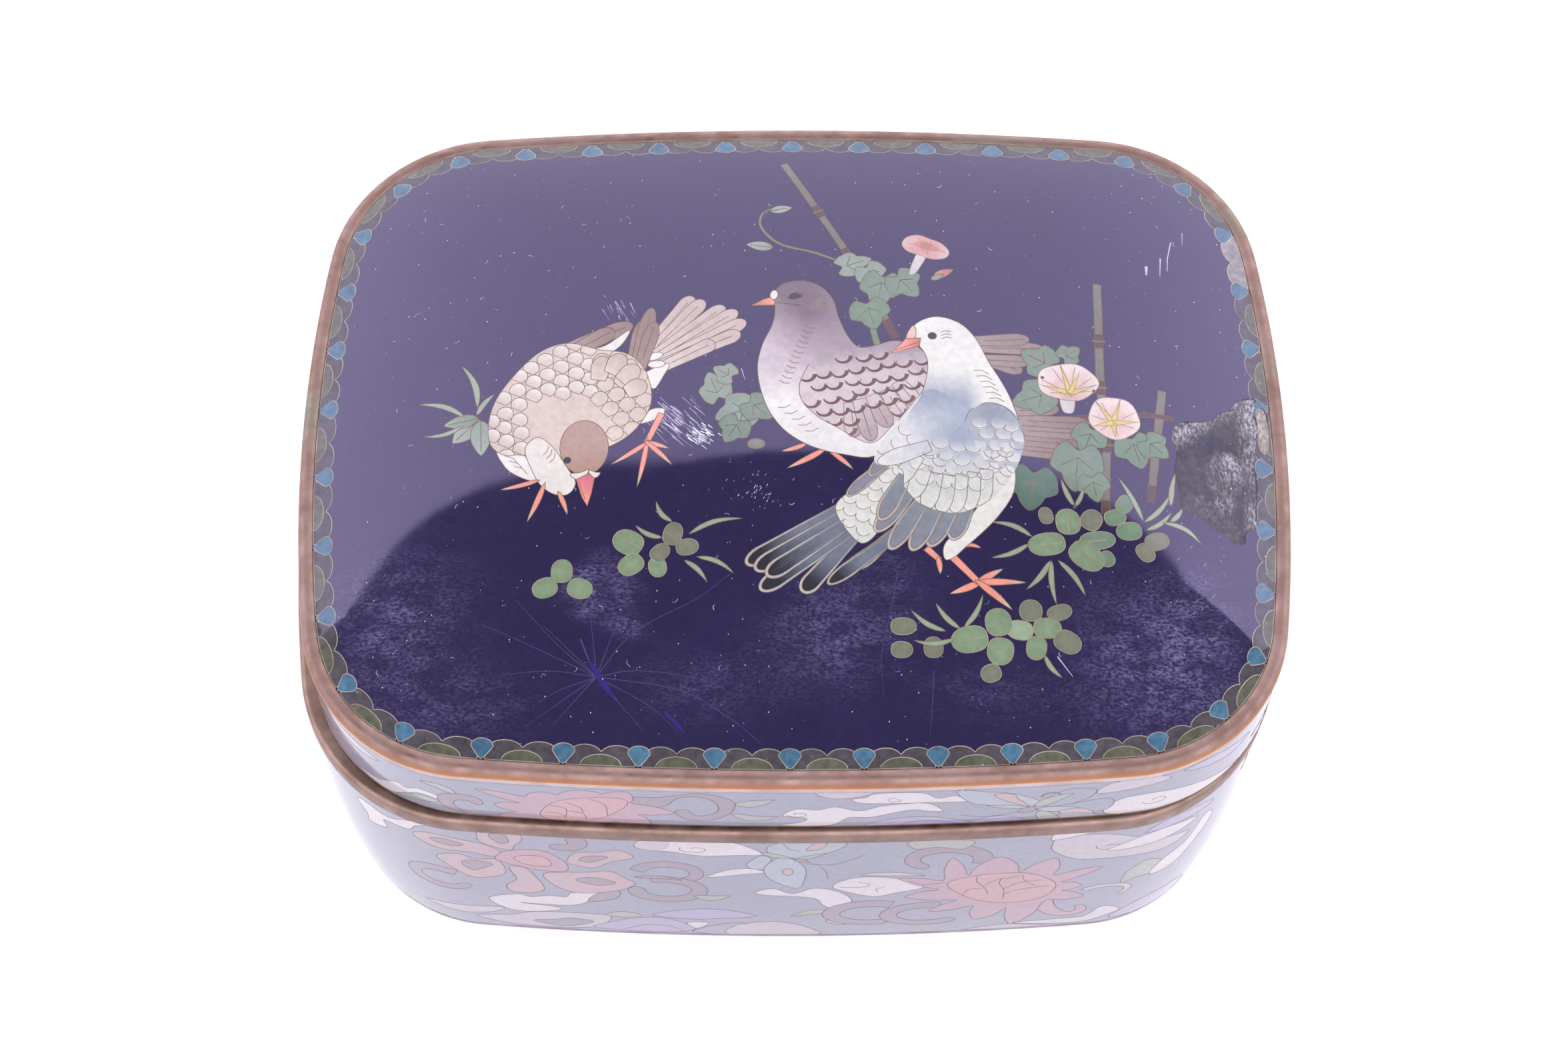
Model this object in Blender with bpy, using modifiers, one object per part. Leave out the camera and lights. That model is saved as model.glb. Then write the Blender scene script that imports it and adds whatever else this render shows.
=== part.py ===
"""A cloisonne enamel box: a bowed, round-cornered copper box with a low domed lid that lifts off.

Metres, +Z up, the foot on Z = 0 and the box centred on the origin.
Every horizontal section is the same plan curve, moved in or out by an offset from the lid's outer edge.
"""

import math

import bpy
import bmesh
from mathutils import Vector

# Plan of the lid at its outer edge
box_width = 0.160
box_depth = 0.1228
corner_radius = 0.028
side_bow = 0.00215

# Sheet and coating
copper_thickness = 0.0012
enamel_thickness = 0.0010
fit_gap = 0.0003

# Lid, measured up from its own lower edge
lid_height = 0.0171
dome_rise = 0.0062
dome_fullness = 3.0
lid_rim_width = 0.00233
lid_bead_height = 0.0018
lid_bead_crown = 0.0004
lid_strip_height = 0.0019
lid_strip_inset = 0.0003
lid_lower_rim_height = 0.0011
lid_slide = 0.00135

# Base, measured up from the floor
base_height = 0.0526
base_overhang = 0.0009
base_rim_height = 0.0046
base_rim_rounding = 0.0009
base_step = 0.0005
base_inset = 0.0024
base_curve_power = 3.0
foot_height = 0.0016
foot_width = 0.0022
foot_inset = 0.0003

# Upstanding collar of the base's rim, which keeps the lid in place
collar_height = 0.0044

# How finely the plan is divided in each quarter
short_side_steps = 3
corner_steps = 8
long_side_steps = 3

copper_colour = (0.42, 0.22, 0.14, 1.0)
navy_enamel_colour = (0.035, 0.026, 0.10, 1.0)
pale_enamel_colour = (0.50, 0.53, 0.62, 1.0)

# Offsets of the walls, inward from the lid's outer edge
lid_enamel_offset = -lid_strip_inset
lid_wall_offset = lid_enamel_offset - enamel_thickness - fit_gap
lid_inner_offset = lid_wall_offset - copper_thickness
base_enamel_offset = base_overhang - base_step
base_wall_offset = base_enamel_offset - enamel_thickness - fit_gap
collar_offset = lid_inner_offset - lid_slide - fit_gap

# Levels of the base
base_enamel_bottom = foot_height + fit_gap
base_enamel_top = base_height - base_rim_height - fit_gap
lid_floor_level = base_height + fit_gap

# Levels of the lid, from its own lower edge
lid_wall_bottom = lid_lower_rim_height + fit_gap
lid_strip_top = lid_height - lid_bead_height
lid_strip_bottom = lid_strip_top - lid_strip_height

# The lid has slid to +X as far as its collar lets it, and the whole is centred on the origin
base_x = (box_width / 2 + base_overhang - max(box_width / 2 + lid_slide, box_width / 2 + base_overhang)) / 2


def remove_startup_objects():
    for thing in list(bpy.data.objects):
        bpy.data.objects.remove(thing, do_unlink=True)


def make_material(name, colour, roughness, metallic):
    material = bpy.data.materials.new(name)
    material.use_nodes = True
    shader = material.node_tree.nodes["Principled BSDF"]
    shader.inputs["Base Color"].default_value = colour
    shader.inputs["Roughness"].default_value = roughness
    shader.inputs["Metallic"].default_value = metallic
    material.diffuse_color = colour
    return material


def arc_points(centre, radius, start, end, steps):
    """Points of an arc from its start, leaving out its end."""
    points = []
    for step in range(steps):
        angle = start + (end - start) * step / steps
        points.append((centre[0] + radius * math.cos(angle), centre[1] + radius * math.sin(angle)))
    return points


def plan_curve(offset):
    """The plan moved outward by an offset: two bowed sides and a round corner to each quarter."""
    half_width = box_width / 2
    half_depth = box_depth / 2
    long_radius = (half_width - corner_radius) ** 2 / (2 * side_bow)
    short_radius = (half_depth - corner_radius) ** 2 / (2 * side_bow)
    long_centre = Vector((0.0, half_depth - long_radius))
    short_centre = Vector((half_width - short_radius, 0.0))

    # The corner's arc touches both side arcs, so its centre is this far from theirs
    from_long = long_radius - corner_radius
    from_short = short_radius - corner_radius
    between = short_centre - long_centre
    along = (from_long ** 2 - from_short ** 2 + between.length ** 2) / (2 * between.length)
    aside = math.sqrt(from_long ** 2 - along ** 2)
    across = Vector((between.y, -between.x)).normalized()
    corner_centre = long_centre + between.normalized() * along + across * aside

    to_short = corner_centre - short_centre
    to_long = corner_centre - long_centre
    short_end = math.atan2(to_short.y, to_short.x)
    long_start = math.atan2(to_long.y, to_long.x)
    quarter = arc_points(short_centre, short_radius + offset, 0.0, short_end, short_side_steps)
    quarter += arc_points(corner_centre, corner_radius + offset, short_end, long_start, corner_steps)
    quarter += arc_points(long_centre, long_radius + offset, long_start, math.pi / 2, long_side_steps)
    top = (0.0, half_depth + offset)
    right_half = quarter + [top] + [(x, -y) for x, y in reversed(quarter[1:])]
    right_half = right_half[-len(quarter) + 1:] + right_half[:-len(quarter) + 1]
    bottom = (0.0, -half_depth - offset)
    left_half = [(-x, y) for x, y in reversed(right_half) if abs(x) > 1e-9]
    return [bottom] + right_half + left_half


def ring(offset, level, shrink=1.0):
    """The plan curve at a level, drawn in towards the centre by a factor."""
    return [Vector((x * shrink, y * shrink, level)) for x, y in plan_curve(offset)]


def skin_through(name, rings, thickness, material, close_end=False):
    """An open surface through the rings, from the first to the last, thickened to the inside."""
    shape = bmesh.new()
    loops = []
    for points in rings:
        verts = [shape.verts.new(point) for point in points]
        edges = [shape.edges.new((verts[i], verts[(i + 1) % len(verts)])) for i in range(len(verts))]
        loops.append(edges)
    for first, second in zip(loops, loops[1:]):
        bmesh.ops.bridge_loops(shape, edges=first + second)
    if close_end:
        bmesh.ops.contextual_create(shape, geom=loops[-1])
    bmesh.ops.recalc_face_normals(shape, faces=shape.faces)
    mesh = bpy.data.meshes.new(name)
    shape.to_mesh(mesh)
    shape.free()
    mesh.shade_smooth()
    made = bpy.data.objects.new(name, mesh)
    wall = made.modifiers.new("Wall", "SOLIDIFY")
    wall.thickness = thickness
    wall.offset = -1.0
    wall.use_even_offset = True
    mesh.materials.append(material)
    return made


def section_curve(name, section):
    """The closed section of a rim, as a flat curve, with its outer side towards -X as the sweep wants it."""
    curve = bpy.data.curves.new(name, "CURVE")
    curve.dimensions = "2D"
    line = curve.splines.new("POLY")
    line.points.add(len(section) - 1)
    for point, (offset, level) in zip(line.points, section):
        point.co = (-offset, level, 0.0, 1.0)
    line.use_cyclic_u = True
    drawn = bpy.data.objects.new(name, curve)
    drawn.hide_render = True
    drawn.display_type = "WIRE"
    return drawn


def swept_rim(name, section, material, guides):
    """A strip of metal bent round the plan, with the given section of offsets and levels."""
    guide = section_curve(name + "_section", section)
    guides.objects.link(guide)
    curve = bpy.data.curves.new(name, "CURVE")
    curve.dimensions = "2D"
    curve.fill_mode = "NONE"
    line = curve.splines.new("POLY")
    path = plan_curve(0.0)
    line.points.add(len(path) - 1)
    for point, (x, y) in zip(line.points, path):
        point.co = (x, y, 0.0, 1.0)
    line.use_cyclic_u = True
    curve.bevel_mode = "OBJECT"
    curve.bevel_object = guide
    curve.materials.append(material)
    return bpy.data.objects.new(name, curve)


def dome_rings(offset, edge_level):
    """Rings of the lid's dome, from its edge to near its crown."""
    shares = (1.0, 0.9, 0.74, 0.5, 0.24)
    return [ring(offset, edge_level + dome_rise * (1 - share ** dome_fullness), share) for share in shares]


def base_wall_offset_at(share, top_offset):
    """How far the base's wall stands out, from its top (share 0) to its foot (share 1)."""
    return top_offset - base_inset * share ** base_curve_power


def base_wall_rings(top_offset, top_level, bottom_level):
    shares = (0.0, 0.3, 0.55, 0.8, 1.0)
    rings = []
    for share in shares:
        level = top_level + (bottom_level - top_level) * share
        rings.append(ring(base_wall_offset_at(share, top_offset), level))
    return rings


def make_lid_top_enamel(material):
    offset = -lid_rim_width - fit_gap
    return skin_through("lid_top_enamel", dome_rings(offset, lid_height), enamel_thickness, material, True)


def make_lid_side_enamel(material):
    rings = [
        ring(lid_enamel_offset, lid_wall_bottom),
        ring(lid_enamel_offset, lid_strip_bottom - fit_gap),
    ]
    return skin_through("lid_side_enamel", rings, enamel_thickness, material)


def make_lid_copper_shell(material):
    shoulder = lid_height - enamel_thickness - 2 * fit_gap
    rings = [
        ring(lid_wall_offset, lid_wall_bottom),
        ring(lid_wall_offset, shoulder - copper_thickness),
    ]
    rings += dome_rings(-lid_rim_width - 2 * fit_gap, shoulder)
    return skin_through("lid_copper_shell", rings, copper_thickness, material, True)


def make_lid_top_rim(material, guides):
    strip_inner = lid_enamel_offset - copper_thickness + fit_gap
    bead_middle = (lid_strip_top + lid_height) / 2
    section = [
        (-lid_strip_inset, lid_strip_bottom),
        (-lid_strip_inset, lid_strip_top - fit_gap),
        (0.0, lid_strip_top),
        (0.0, bead_middle),
        (-lid_rim_width * 0.18, lid_height - lid_bead_height * 0.08),
        (-lid_rim_width * 0.5, lid_height + lid_bead_crown),
        (-lid_rim_width * 0.85, lid_height + lid_bead_crown * 0.6),
        (-lid_rim_width, lid_height - lid_bead_height * 0.1),
        (-lid_rim_width, lid_height - enamel_thickness + fit_gap / 2),
        (strip_inner, lid_strip_top - lid_strip_height * 0.1),
        (strip_inner, lid_strip_bottom),
    ]
    return swept_rim("lid_top_rim", section, material, guides)


def make_lid_lower_rim(material, guides):
    section = [
        (lid_inner_offset, 0.0),
        (0.0, 0.0),
        (0.0, lid_lower_rim_height),
        (lid_inner_offset, lid_lower_rim_height),
    ]
    return swept_rim("lid_lower_rim", section, material, guides)


def make_base_upper_rim(material, guides):
    """An outer strip, the ledge that the lid sits on, and the collar inside the lid."""
    ledge_under = base_height - copper_thickness
    strip_inner = base_overhang - copper_thickness
    collar_inner = collar_offset - copper_thickness
    round_share = 1 - math.sqrt(0.5)
    section = [
        (strip_inner, base_height - base_rim_height),
        (base_overhang, base_height - base_rim_height),
        (base_overhang, base_height - base_rim_rounding),
        (base_overhang - base_rim_rounding * round_share, base_height - base_rim_rounding * round_share),
        (base_overhang - base_rim_rounding, base_height),
        (collar_offset, base_height),
        (collar_offset, base_height + collar_height),
        (collar_inner, base_height + collar_height),
        (collar_inner, ledge_under),
        (strip_inner, ledge_under),
    ]
    return swept_rim("base_upper_rim", section, material, guides)


def make_base_side_enamel(material):
    rings = base_wall_rings(base_enamel_offset, base_enamel_top, base_enamel_bottom)
    return skin_through("base_side_enamel", list(reversed(rings)), enamel_thickness, material)


def make_base_copper_shell(material):
    top = base_height - copper_thickness - fit_gap
    rings = base_wall_rings(base_wall_offset, top, base_enamel_bottom)
    return skin_through("base_copper_shell", rings, copper_thickness, material, True)


def make_base_foot_rim(material, guides):
    outer = base_wall_offset_at(1.0, base_enamel_offset) - foot_inset
    section = [
        (outer - foot_width, 0.0),
        (outer, 0.0),
        (outer, foot_height),
        (outer - foot_width, foot_height),
    ]
    return swept_rim("base_foot_rim", section, material, guides)


def build():
    remove_startup_objects()
    box = bpy.data.collections.new("cloisonne_box")
    guides = bpy.data.collections.new("section_guides")
    bpy.context.scene.collection.children.link(box)
    bpy.context.scene.collection.children.link(guides)

    copper = make_material("copper", copper_colour, 0.35, 1.0)
    navy = make_material("navy_enamel", navy_enamel_colour, 0.12, 0.0)
    pale = make_material("pale_enamel", pale_enamel_colour, 0.15, 0.0)

    base = bpy.data.objects.new("base", None)
    base.location = (base_x, 0.0, 0.0)
    lid = bpy.data.objects.new("lid", None)
    lid.location = (base_x + lid_slide, 0.0, lid_floor_level)
    box.objects.link(base)
    box.objects.link(lid)

    base_parts = [
        make_base_copper_shell(copper),
        make_base_side_enamel(pale),
        make_base_upper_rim(copper, guides),
        make_base_foot_rim(copper, guides),
    ]
    lid_parts = [
        make_lid_copper_shell(copper),
        make_lid_top_enamel(navy),
        make_lid_side_enamel(pale),
        make_lid_top_rim(copper, guides),
        make_lid_lower_rim(copper, guides),
    ]
    for holder, parts in ((base, base_parts), (lid, lid_parts)):
        for part in parts:
            box.objects.link(part)
            part.parent = holder


build()
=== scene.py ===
"""The looks of the cloisonne enamel box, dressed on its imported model. Metres, +Z up.

The enamel pictures are drawn in millimetres on a flat sheet, cell over cell, and then laid on the dome or
round the walls.
"""

import math
import random

import bpy
import bmesh
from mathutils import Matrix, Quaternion, Vector
from mathutils.geometry import delaunay_2d_cdt


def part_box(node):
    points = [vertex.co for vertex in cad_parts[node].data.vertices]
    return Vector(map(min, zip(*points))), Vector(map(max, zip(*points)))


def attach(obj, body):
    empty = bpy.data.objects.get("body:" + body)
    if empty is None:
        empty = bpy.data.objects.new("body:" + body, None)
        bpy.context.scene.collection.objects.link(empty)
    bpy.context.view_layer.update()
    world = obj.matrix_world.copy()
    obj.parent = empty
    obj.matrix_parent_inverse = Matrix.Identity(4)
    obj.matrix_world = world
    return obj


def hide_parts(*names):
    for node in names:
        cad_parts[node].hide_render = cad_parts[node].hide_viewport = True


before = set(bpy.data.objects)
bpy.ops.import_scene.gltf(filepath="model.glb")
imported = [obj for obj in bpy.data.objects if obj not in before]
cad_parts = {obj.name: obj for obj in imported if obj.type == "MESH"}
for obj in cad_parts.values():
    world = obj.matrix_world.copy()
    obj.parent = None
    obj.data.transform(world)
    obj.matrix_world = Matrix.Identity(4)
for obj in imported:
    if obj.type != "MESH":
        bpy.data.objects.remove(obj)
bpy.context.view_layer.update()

MM = 0.001



def corners(node):
    """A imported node's low and high corner, in millimetres."""
    return [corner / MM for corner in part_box(node)]


lid_rim_low, lid_rim_high = corners("lid_top_rim")
lid_edge_low = corners("lid_lower_rim")[0]
lid_side_high = corners("lid_side_enamel")[1]
lid_dome_low = corners("lid_top_enamel")[0]
base_rim_low, base_rim_high = corners("base_upper_rim")
base_side_low, base_side_high = corners("base_side_enamel")

half_width = (lid_rim_high.x - lid_rim_low.x) / 2
half_depth = (lid_rim_high.y - lid_rim_low.y) / 2
lid_x = (lid_rim_high.x + lid_rim_low.x) / 2
base_x = (base_rim_high.x + base_rim_low.x) / 2
base_overhang = (base_rim_high.x - base_rim_low.x) / 2 - half_width

# The plan's own sizes, as in the part
corner_radius = 28.0
side_bow = 2.15

# Lid
rim_width = 2.33
enamel_edge = -rim_width - 0.15
dome_rise = 6.2
dome_fullness = 3.0
dome_level = lid_dome_low.z + 1.0
strip_height = 1.9

# Base
base_curve_power = 3.0
base_inset = 2.4
base_enamel_offset = base_overhang - 0.5

# Where the bands end: above the lid's lower edge, and in height under the base's rim
lid_band_low = 0.32
base_band_high = 48.6

# Enamel and wire
enamel_skin = 0.35
wire_radius = 0.085
wire_proud = 0.032
side_wire_radius = 0.1


def tone(red, green, blue):
    """A colour given as the eye sees it, from 0 to 255, as a linear colour."""
    levels = []
    for level in (red, green, blue):
        share = level / 255
        levels.append(share / 12.92 if share <= 0.04045 else ((share + 0.055) / 1.055) ** 2.4)
    return tuple(levels)


def mix(first, second, share):
    share = min(max(share, 0.0), 1.0)
    return tuple(a + (b - a) * share for a, b in zip(first, second))


# The plan curve


class PlanCurve:
    """The box's plan: two bowed sides and a round corner to each quarter."""

    def __init__(self):
        self.long_radius = (half_width - corner_radius) ** 2 / (2 * side_bow)
        self.short_radius = (half_depth - corner_radius) ** 2 / (2 * side_bow)
        self.long_centre = Vector((0.0, half_depth - self.long_radius))
        self.short_centre = Vector((half_width - self.short_radius, 0.0))
        from_long = self.long_radius - corner_radius
        from_short = self.short_radius - corner_radius
        between = self.short_centre - self.long_centre
        along = (from_long ** 2 - from_short ** 2 + between.length ** 2) / (2 * between.length)
        aside = math.sqrt(from_long ** 2 - along ** 2)
        across = Vector((between.y, -between.x)).normalized()
        self.corner_centre = self.long_centre + between.normalized() * along + across * aside
        to_short = self.corner_centre - self.short_centre
        to_long = self.corner_centre - self.long_centre
        self.short_end = math.atan2(to_short.y, to_short.x)
        self.long_start = math.atan2(to_long.y, to_long.x)
        self.short_length = self.short_radius * self.short_end
        self.corner_length = corner_radius * (self.long_start - self.short_end)
        self.long_length = self.long_radius * (math.pi / 2 - self.long_start)
        self.quarter = self.short_length + self.corner_length + self.long_length
        self.round = 4 * self.quarter

    def at(self, along, offset=0.0):
        """The point that far round from the front's middle, towards +X, and the outward direction there."""
        along = along % self.round
        which = int(along // self.quarter) % 4
        q = along - which * self.quarter
        if which in (1, 3):
            q = self.quarter - q
        if q < self.long_length:
            centre, radius, angle = self.long_centre, self.long_radius, math.pi / 2 - q / self.long_radius
        elif q < self.long_length + self.corner_length:
            centre, radius = self.corner_centre, corner_radius
            angle = self.long_start - (q - self.long_length) / corner_radius
        else:
            centre, radius = self.short_centre, self.short_radius
            angle = self.short_end - (q - self.long_length - self.corner_length) / self.short_radius
        out = Vector((math.cos(angle), math.sin(angle)))
        point = centre + out * (radius + offset)
        flip_x = 1 if which in (0, 1) else -1
        flip_y = -1 if which in (0, 3) else 1
        return Vector((point.x * flip_x, point.y * flip_y)), Vector((out.x * flip_x, out.y * flip_y))

    def reach(self, x, y, offset):
        """How far the curve, moved outward by an offset, is from the centre in the direction of a point."""
        way = Vector((abs(x), abs(y)))
        if way.length < 1e-9:
            return half_depth + offset
        way.normalize()

        def hit(centre, radius):
            middle = way.dot(centre)
            return middle + math.sqrt(max(middle * middle - centre.dot(centre) + radius * radius, 0.0))

        far = hit(self.short_centre, self.short_radius + offset)
        place = way * far - self.short_centre
        if math.atan2(place.y, place.x) <= self.short_end:
            return far
        far = hit(self.long_centre, self.long_radius + offset)
        place = way * far - self.long_centre
        if math.atan2(place.y, place.x) >= self.long_start:
            return far
        return hit(self.corner_centre, corner_radius + offset)

    def points(self, offset, count):
        return [self.at(self.round * step / count, offset)[0] for step in range(count)]


plan = PlanCurve()


def dome_height(x, y):
    share = min(math.hypot(x, y) / plan.reach(x, y, enamel_edge), 1.0)
    return dome_rise * (1 - share ** dome_fullness)


def on_dome(x, y, lift=0.0):
    """A point of the lid's picture, and the dome's outward direction there."""
    height = dome_height(x, y)
    step = 0.05
    slope_x = (dome_height(x + step, y) - dome_height(x - step, y)) / (2 * step)
    slope_y = (dome_height(x, y + step) - dome_height(x, y - step)) / (2 * step)
    out = Vector((-slope_x, -slope_y, 1.0)).normalized()
    return Vector((lid_x + x, y, dome_level + height)) + out * lift, out


def on_lid_side(along, up, lift=0.0):
    point, out = plan.at(along, -0.3 + lift)
    return Vector((lid_x + point.x, point.y, lid_edge_low.z + up)), Vector((out.x, out.y, 0.0))


def base_share(up):
    return min(max((base_side_high.z - up) / (base_side_high.z - base_side_low.z), 0.0), 1.0)


def on_base_side(along, up, lift=0.0):
    share = base_share(up)
    point, out = plan.at(along, base_enamel_offset - base_inset * share ** base_curve_power)
    lean = base_inset * base_curve_power * share ** (base_curve_power - 1)
    lean /= base_side_high.z - base_side_low.z
    normal = Vector((out.x, out.y, -lean)).normalized()
    return Vector((base_x + point.x, point.y, up)) + normal * lift, normal


# Outlines, in millimetres on the flat sheet


def smooth_loop(points, steps=5):
    """A closed curve through the points."""
    made = []
    count = len(points)
    for i in range(count):
        a, b, c, d = [Vector(points[(i + k) % count]) for k in (-1, 0, 1, 2)]
        for step in range(steps):
            t = step / steps
            made.append(spline_point(a, b, c, d, t))
    return made


def smooth_path(points, steps=5):
    """An open curve through the points."""
    knots = [Vector(p) for p in points]
    knots = [knots[0] * 2 - knots[1]] + knots + [knots[-1] * 2 - knots[-2]]
    made = []
    for i in range(1, len(knots) - 2):
        for step in range(steps):
            made.append(spline_point(knots[i - 1], knots[i], knots[i + 1], knots[i + 2], step / steps))
    return made + [knots[-2]]


def spline_point(a, b, c, d, t):
    bend = (2 * a - 5 * b + 4 * c - d) * t * t
    twist = (3 * b - a - 3 * c + d) * t ** 3
    return 0.5 * (2 * b + (c - a) * t + bend + twist)


def turned(x, y, turn):
    """A map from a shape's own axes to the sheet: its middle at a place, and turned by some degrees."""
    c, s = math.cos(math.radians(turn)), math.sin(math.radians(turn))
    return lambda u, v: Vector((x + u * c - v * s, y + u * s + v * c))


def oval(x, y, across, along, turn=0.0, steps=24):
    """An ellipse by its half-lengths, turned by some degrees."""
    place = turned(x, y, turn)
    angles = [2 * math.pi * step / steps for step in range(steps)]
    return [place(across * math.cos(angle), along * math.sin(angle)) for angle in angles]


def frame_at(root, tip):
    """The length from a root to a tip, and a map from a place along it and aside of it to the sheet."""
    root, tip = Vector(root), Vector(tip)
    way = tip - root
    length = way.length
    way.normalize()
    side = Vector((-way.y, way.x))
    return length, lambda along, aside: root + way * along + side * aside


def tongue_tip(root, tip, width, bluntness, open_share=0.9, steps=8):
    """The round tip's line of a feather. Bluntness is the tip's share of the length."""
    length, place = frame_at(root, tip)
    made = []
    for step in range(steps + 1):
        angle = (math.pi * step / steps - math.pi / 2) * open_share
        along = length * (1 - bluntness) + length * bluntness * math.cos(angle)
        made.append(place(along, width / 2 * math.sin(angle)))
    return made


def tongue(root, tip, width, bluntness):
    """A feather: straight sides from its root and a round tip."""
    place = frame_at(root, tip)[1]
    root_half = width * 0.36
    return [place(0.0, -root_half), *tongue_tip(root, tip, width, bluntness, 1.0, 12), place(0.0, root_half)]


def blade(root, tip, width, bend=0.0, steps=8, near=0.75, blunt=0.8):
    """A grass blade, claw or leaf, pointed at both ends. Near and blunt set where and how it is widest."""
    length, place = frame_at(root, tip)
    left, right = [], []
    for step in range(steps + 1):
        share = step / steps
        wide = width / 2 * math.sin(math.pi * share ** near) ** blunt
        curve = bend * math.sin(math.pi * share)
        left.append(place(length * share, curve + wide))
        right.append(place(length * share, curve - wide))
    return left + right[-2:0:-1]


def strip(path, start_width, end_width):
    """A strip along a path, as wide as given at its ends."""
    path = [Vector(p) for p in path]
    left, right = [], []
    for i, point in enumerate(path):
        way = path[min(i + 1, len(path) - 1)] - path[max(i - 1, 0)]
        side = Vector((-way.y, way.x)).normalized()
        wide = (start_width + (end_width - start_width) * i / (len(path) - 1)) / 2
        left.append(point + side * wide)
        right.append(point - side * wide)
    return left + right[::-1]


def clover_outline(x, y, across, along, turn):
    """A clover leaf: a blunt oval, a little squared and pulled out at one end."""
    steps, squareness, pull = 20, 0.8, 0.12
    place = turned(x, y, turn)
    made = []
    for step in range(steps):
        angle = 2 * math.pi * step / steps
        u = across * math.copysign(abs(math.cos(angle)) ** squareness, math.cos(angle))
        v = along * math.copysign(abs(math.sin(angle)) ** squareness, math.sin(angle))
        made.append(place(u * (1 + pull * max(math.cos(angle), 0) ** 4), v))
    return made


def inside(point, outline):
    found = False
    x, y = point
    for (ax, ay), (bx, by) in zip(outline, outline[1:] + outline[:1]):
        if (ay > y) != (by > y) and x < (bx - ax) * (y - ay) / (by - ay) + ax:
            found = not found
    return found


# Paints: each gives the enamel's colour at a place on the sheet


def plain(colour):
    return lambda x, y: colour


def fade(first, second, start, end, ease=1.0):
    """From one colour at the start to another at the end."""
    start, end = Vector(start), Vector(end)
    way = end - start
    span = way.length_squared

    def colour(x, y):
        share = (Vector((x, y)) - start).dot(way) / span
        return mix(first, second, min(max(share, 0.0), 1.0) ** ease)

    return colour


def glow(first, second, centre, radius, ease=1.0):
    """From one colour at a centre to another at that distance."""

    def colour(x, y):
        share = math.hypot(x - centre[0], y - centre[1]) / radius
        return mix(first, second, min(share, 1.0) ** ease)

    return colour


# The enamel worker's sheet


class EnamelSheet:
    """Cells laid one over another, and the wires between them, fired into triangles."""

    def __init__(self):
        self.cells = []
        self.lines = []
        self.fine = []

    def cell(self, outline, paint, group, kind="wired", within=None):
        """A cell of one colour or of a paint, and its number.

        A wired cell has a wire round it. A bare one has none and hides those under it. A tint only colours.
        """
        self.cells.append((outline, paint if callable(paint) else plain(paint), group, kind, within))
        return len(self.cells) - 1

    def shape(self, points, paint, group, kind="wired", within=None):
        """A cell with a smooth outline through the points."""
        return self.cell(smooth_loop(points), paint, group, kind, within)

    def line(self, points, group, within=None):
        self.lines.append((points, group, within, len(self.cells)))

    def fire(self):
        """The sheet's points, its triangles by group, and the wires' edges by group."""
        coords = []
        edges = []
        faces = []
        for outline, _, _, _, _ in self.cells:
            start = len(coords)
            coords += [Vector(p) for p in outline]
            area = sum(a[0] * b[1] - b[0] * a[1] for a, b in zip(outline, outline[1:] + outline[:1]))
            order = list(range(start, len(coords)))
            faces.append(order if area > 0 else order[::-1])
        line_of_edge = []
        for number, (points, _, _, _) in enumerate(self.lines):
            start = len(coords)
            coords += [Vector(p) for p in points]
            edges += [(i, i + 1) for i in range(start, len(coords) - 1)]
            line_of_edge += [number] * (len(points) - 1)
        coords += [Vector(p) for p in self.fine]
        fired = delaunay_2d_cdt(coords, edges, faces, 1, 0.0005, True)
        points, made_edges, triangles, _, from_edges, from_faces = fired

        tops, keys, layers = [], [], []
        for numbers in from_faces:
            valid = set()
            top = key = -1
            for number in sorted(numbers):
                kind, within = self.cells[number][3:]
                if within is None or within in valid:
                    valid.add(number)
                    top = number
                    if kind != "tint":
                        key = number
            tops.append(top)
            keys.append(key)
            layers.append(valid)

        by_group = {}
        touching = {}
        for number, corners in enumerate(triangles):
            if tops[number] < 0:
                continue
            by_group.setdefault(self.cells[tops[number]][2], []).append((corners, tops[number]))
            for i in range(3):
                ends = (corners[i], corners[(i + 1) % 3])
                touching.setdefault((min(ends), max(ends)), []).append(number)

        wires = {}
        for ends, sources in zip(made_edges, from_edges):
            ends = (min(ends), max(ends))
            beside = touching.get(ends, [])
            if len(beside) != 2:
                continue
            winner = max(keys[beside[0]], keys[beside[1]])
            if keys[beside[0]] != keys[beside[1]] and winner >= 0:
                if self.cells[winner][3] == "wired":
                    wires.setdefault(self.cells[winner][2], set()).add(ends)
                continue
            for source in sources:
                if source >= len(line_of_edge):
                    continue
                _, group, within, order = self.lines[line_of_edge[source]]
                if winner < order and all(within is None or within in layers[n] for n in beside):
                    wires.setdefault(group, set()).add(ends)
        return points, by_group, wires


def chains(edges):
    """The edges strung together into runs of points."""
    beside = {}
    for a, b in sorted(edges):
        beside.setdefault(a, []).append(b)
        beside.setdefault(b, []).append(a)
    left = set(edges)

    def walk(start, onward):
        run = [start, onward]
        left.discard((min(start, onward), max(start, onward)))
        while len(beside[run[-1]]) == 2:
            ahead = [p for p in beside[run[-1]] if (min(p, run[-1]), max(p, run[-1])) in left]
            if not ahead:
                break
            left.discard((min(ahead[0], run[-1]), max(ahead[0], run[-1])))
            run.append(ahead[0])
        return run

    runs = []
    for start in sorted(beside):
        if len(beside[start]) != 2:
            for onward in beside[start]:
                if (min(start, onward), max(start, onward)) in left:
                    runs.append(walk(start, onward))
    while left:
        start, onward = min(left)
        runs.append(walk(start, onward))
    return runs


# Pieces


def add_piece(name, mesh, material, node=None):
    piece = bpy.data.objects.new(name, mesh)
    bpy.context.scene.collection.objects.link(piece)
    if not mesh.materials:
        mesh.materials.append(material)
    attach(piece, "root")
    if node:
        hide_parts(node)
    return piece


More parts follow.
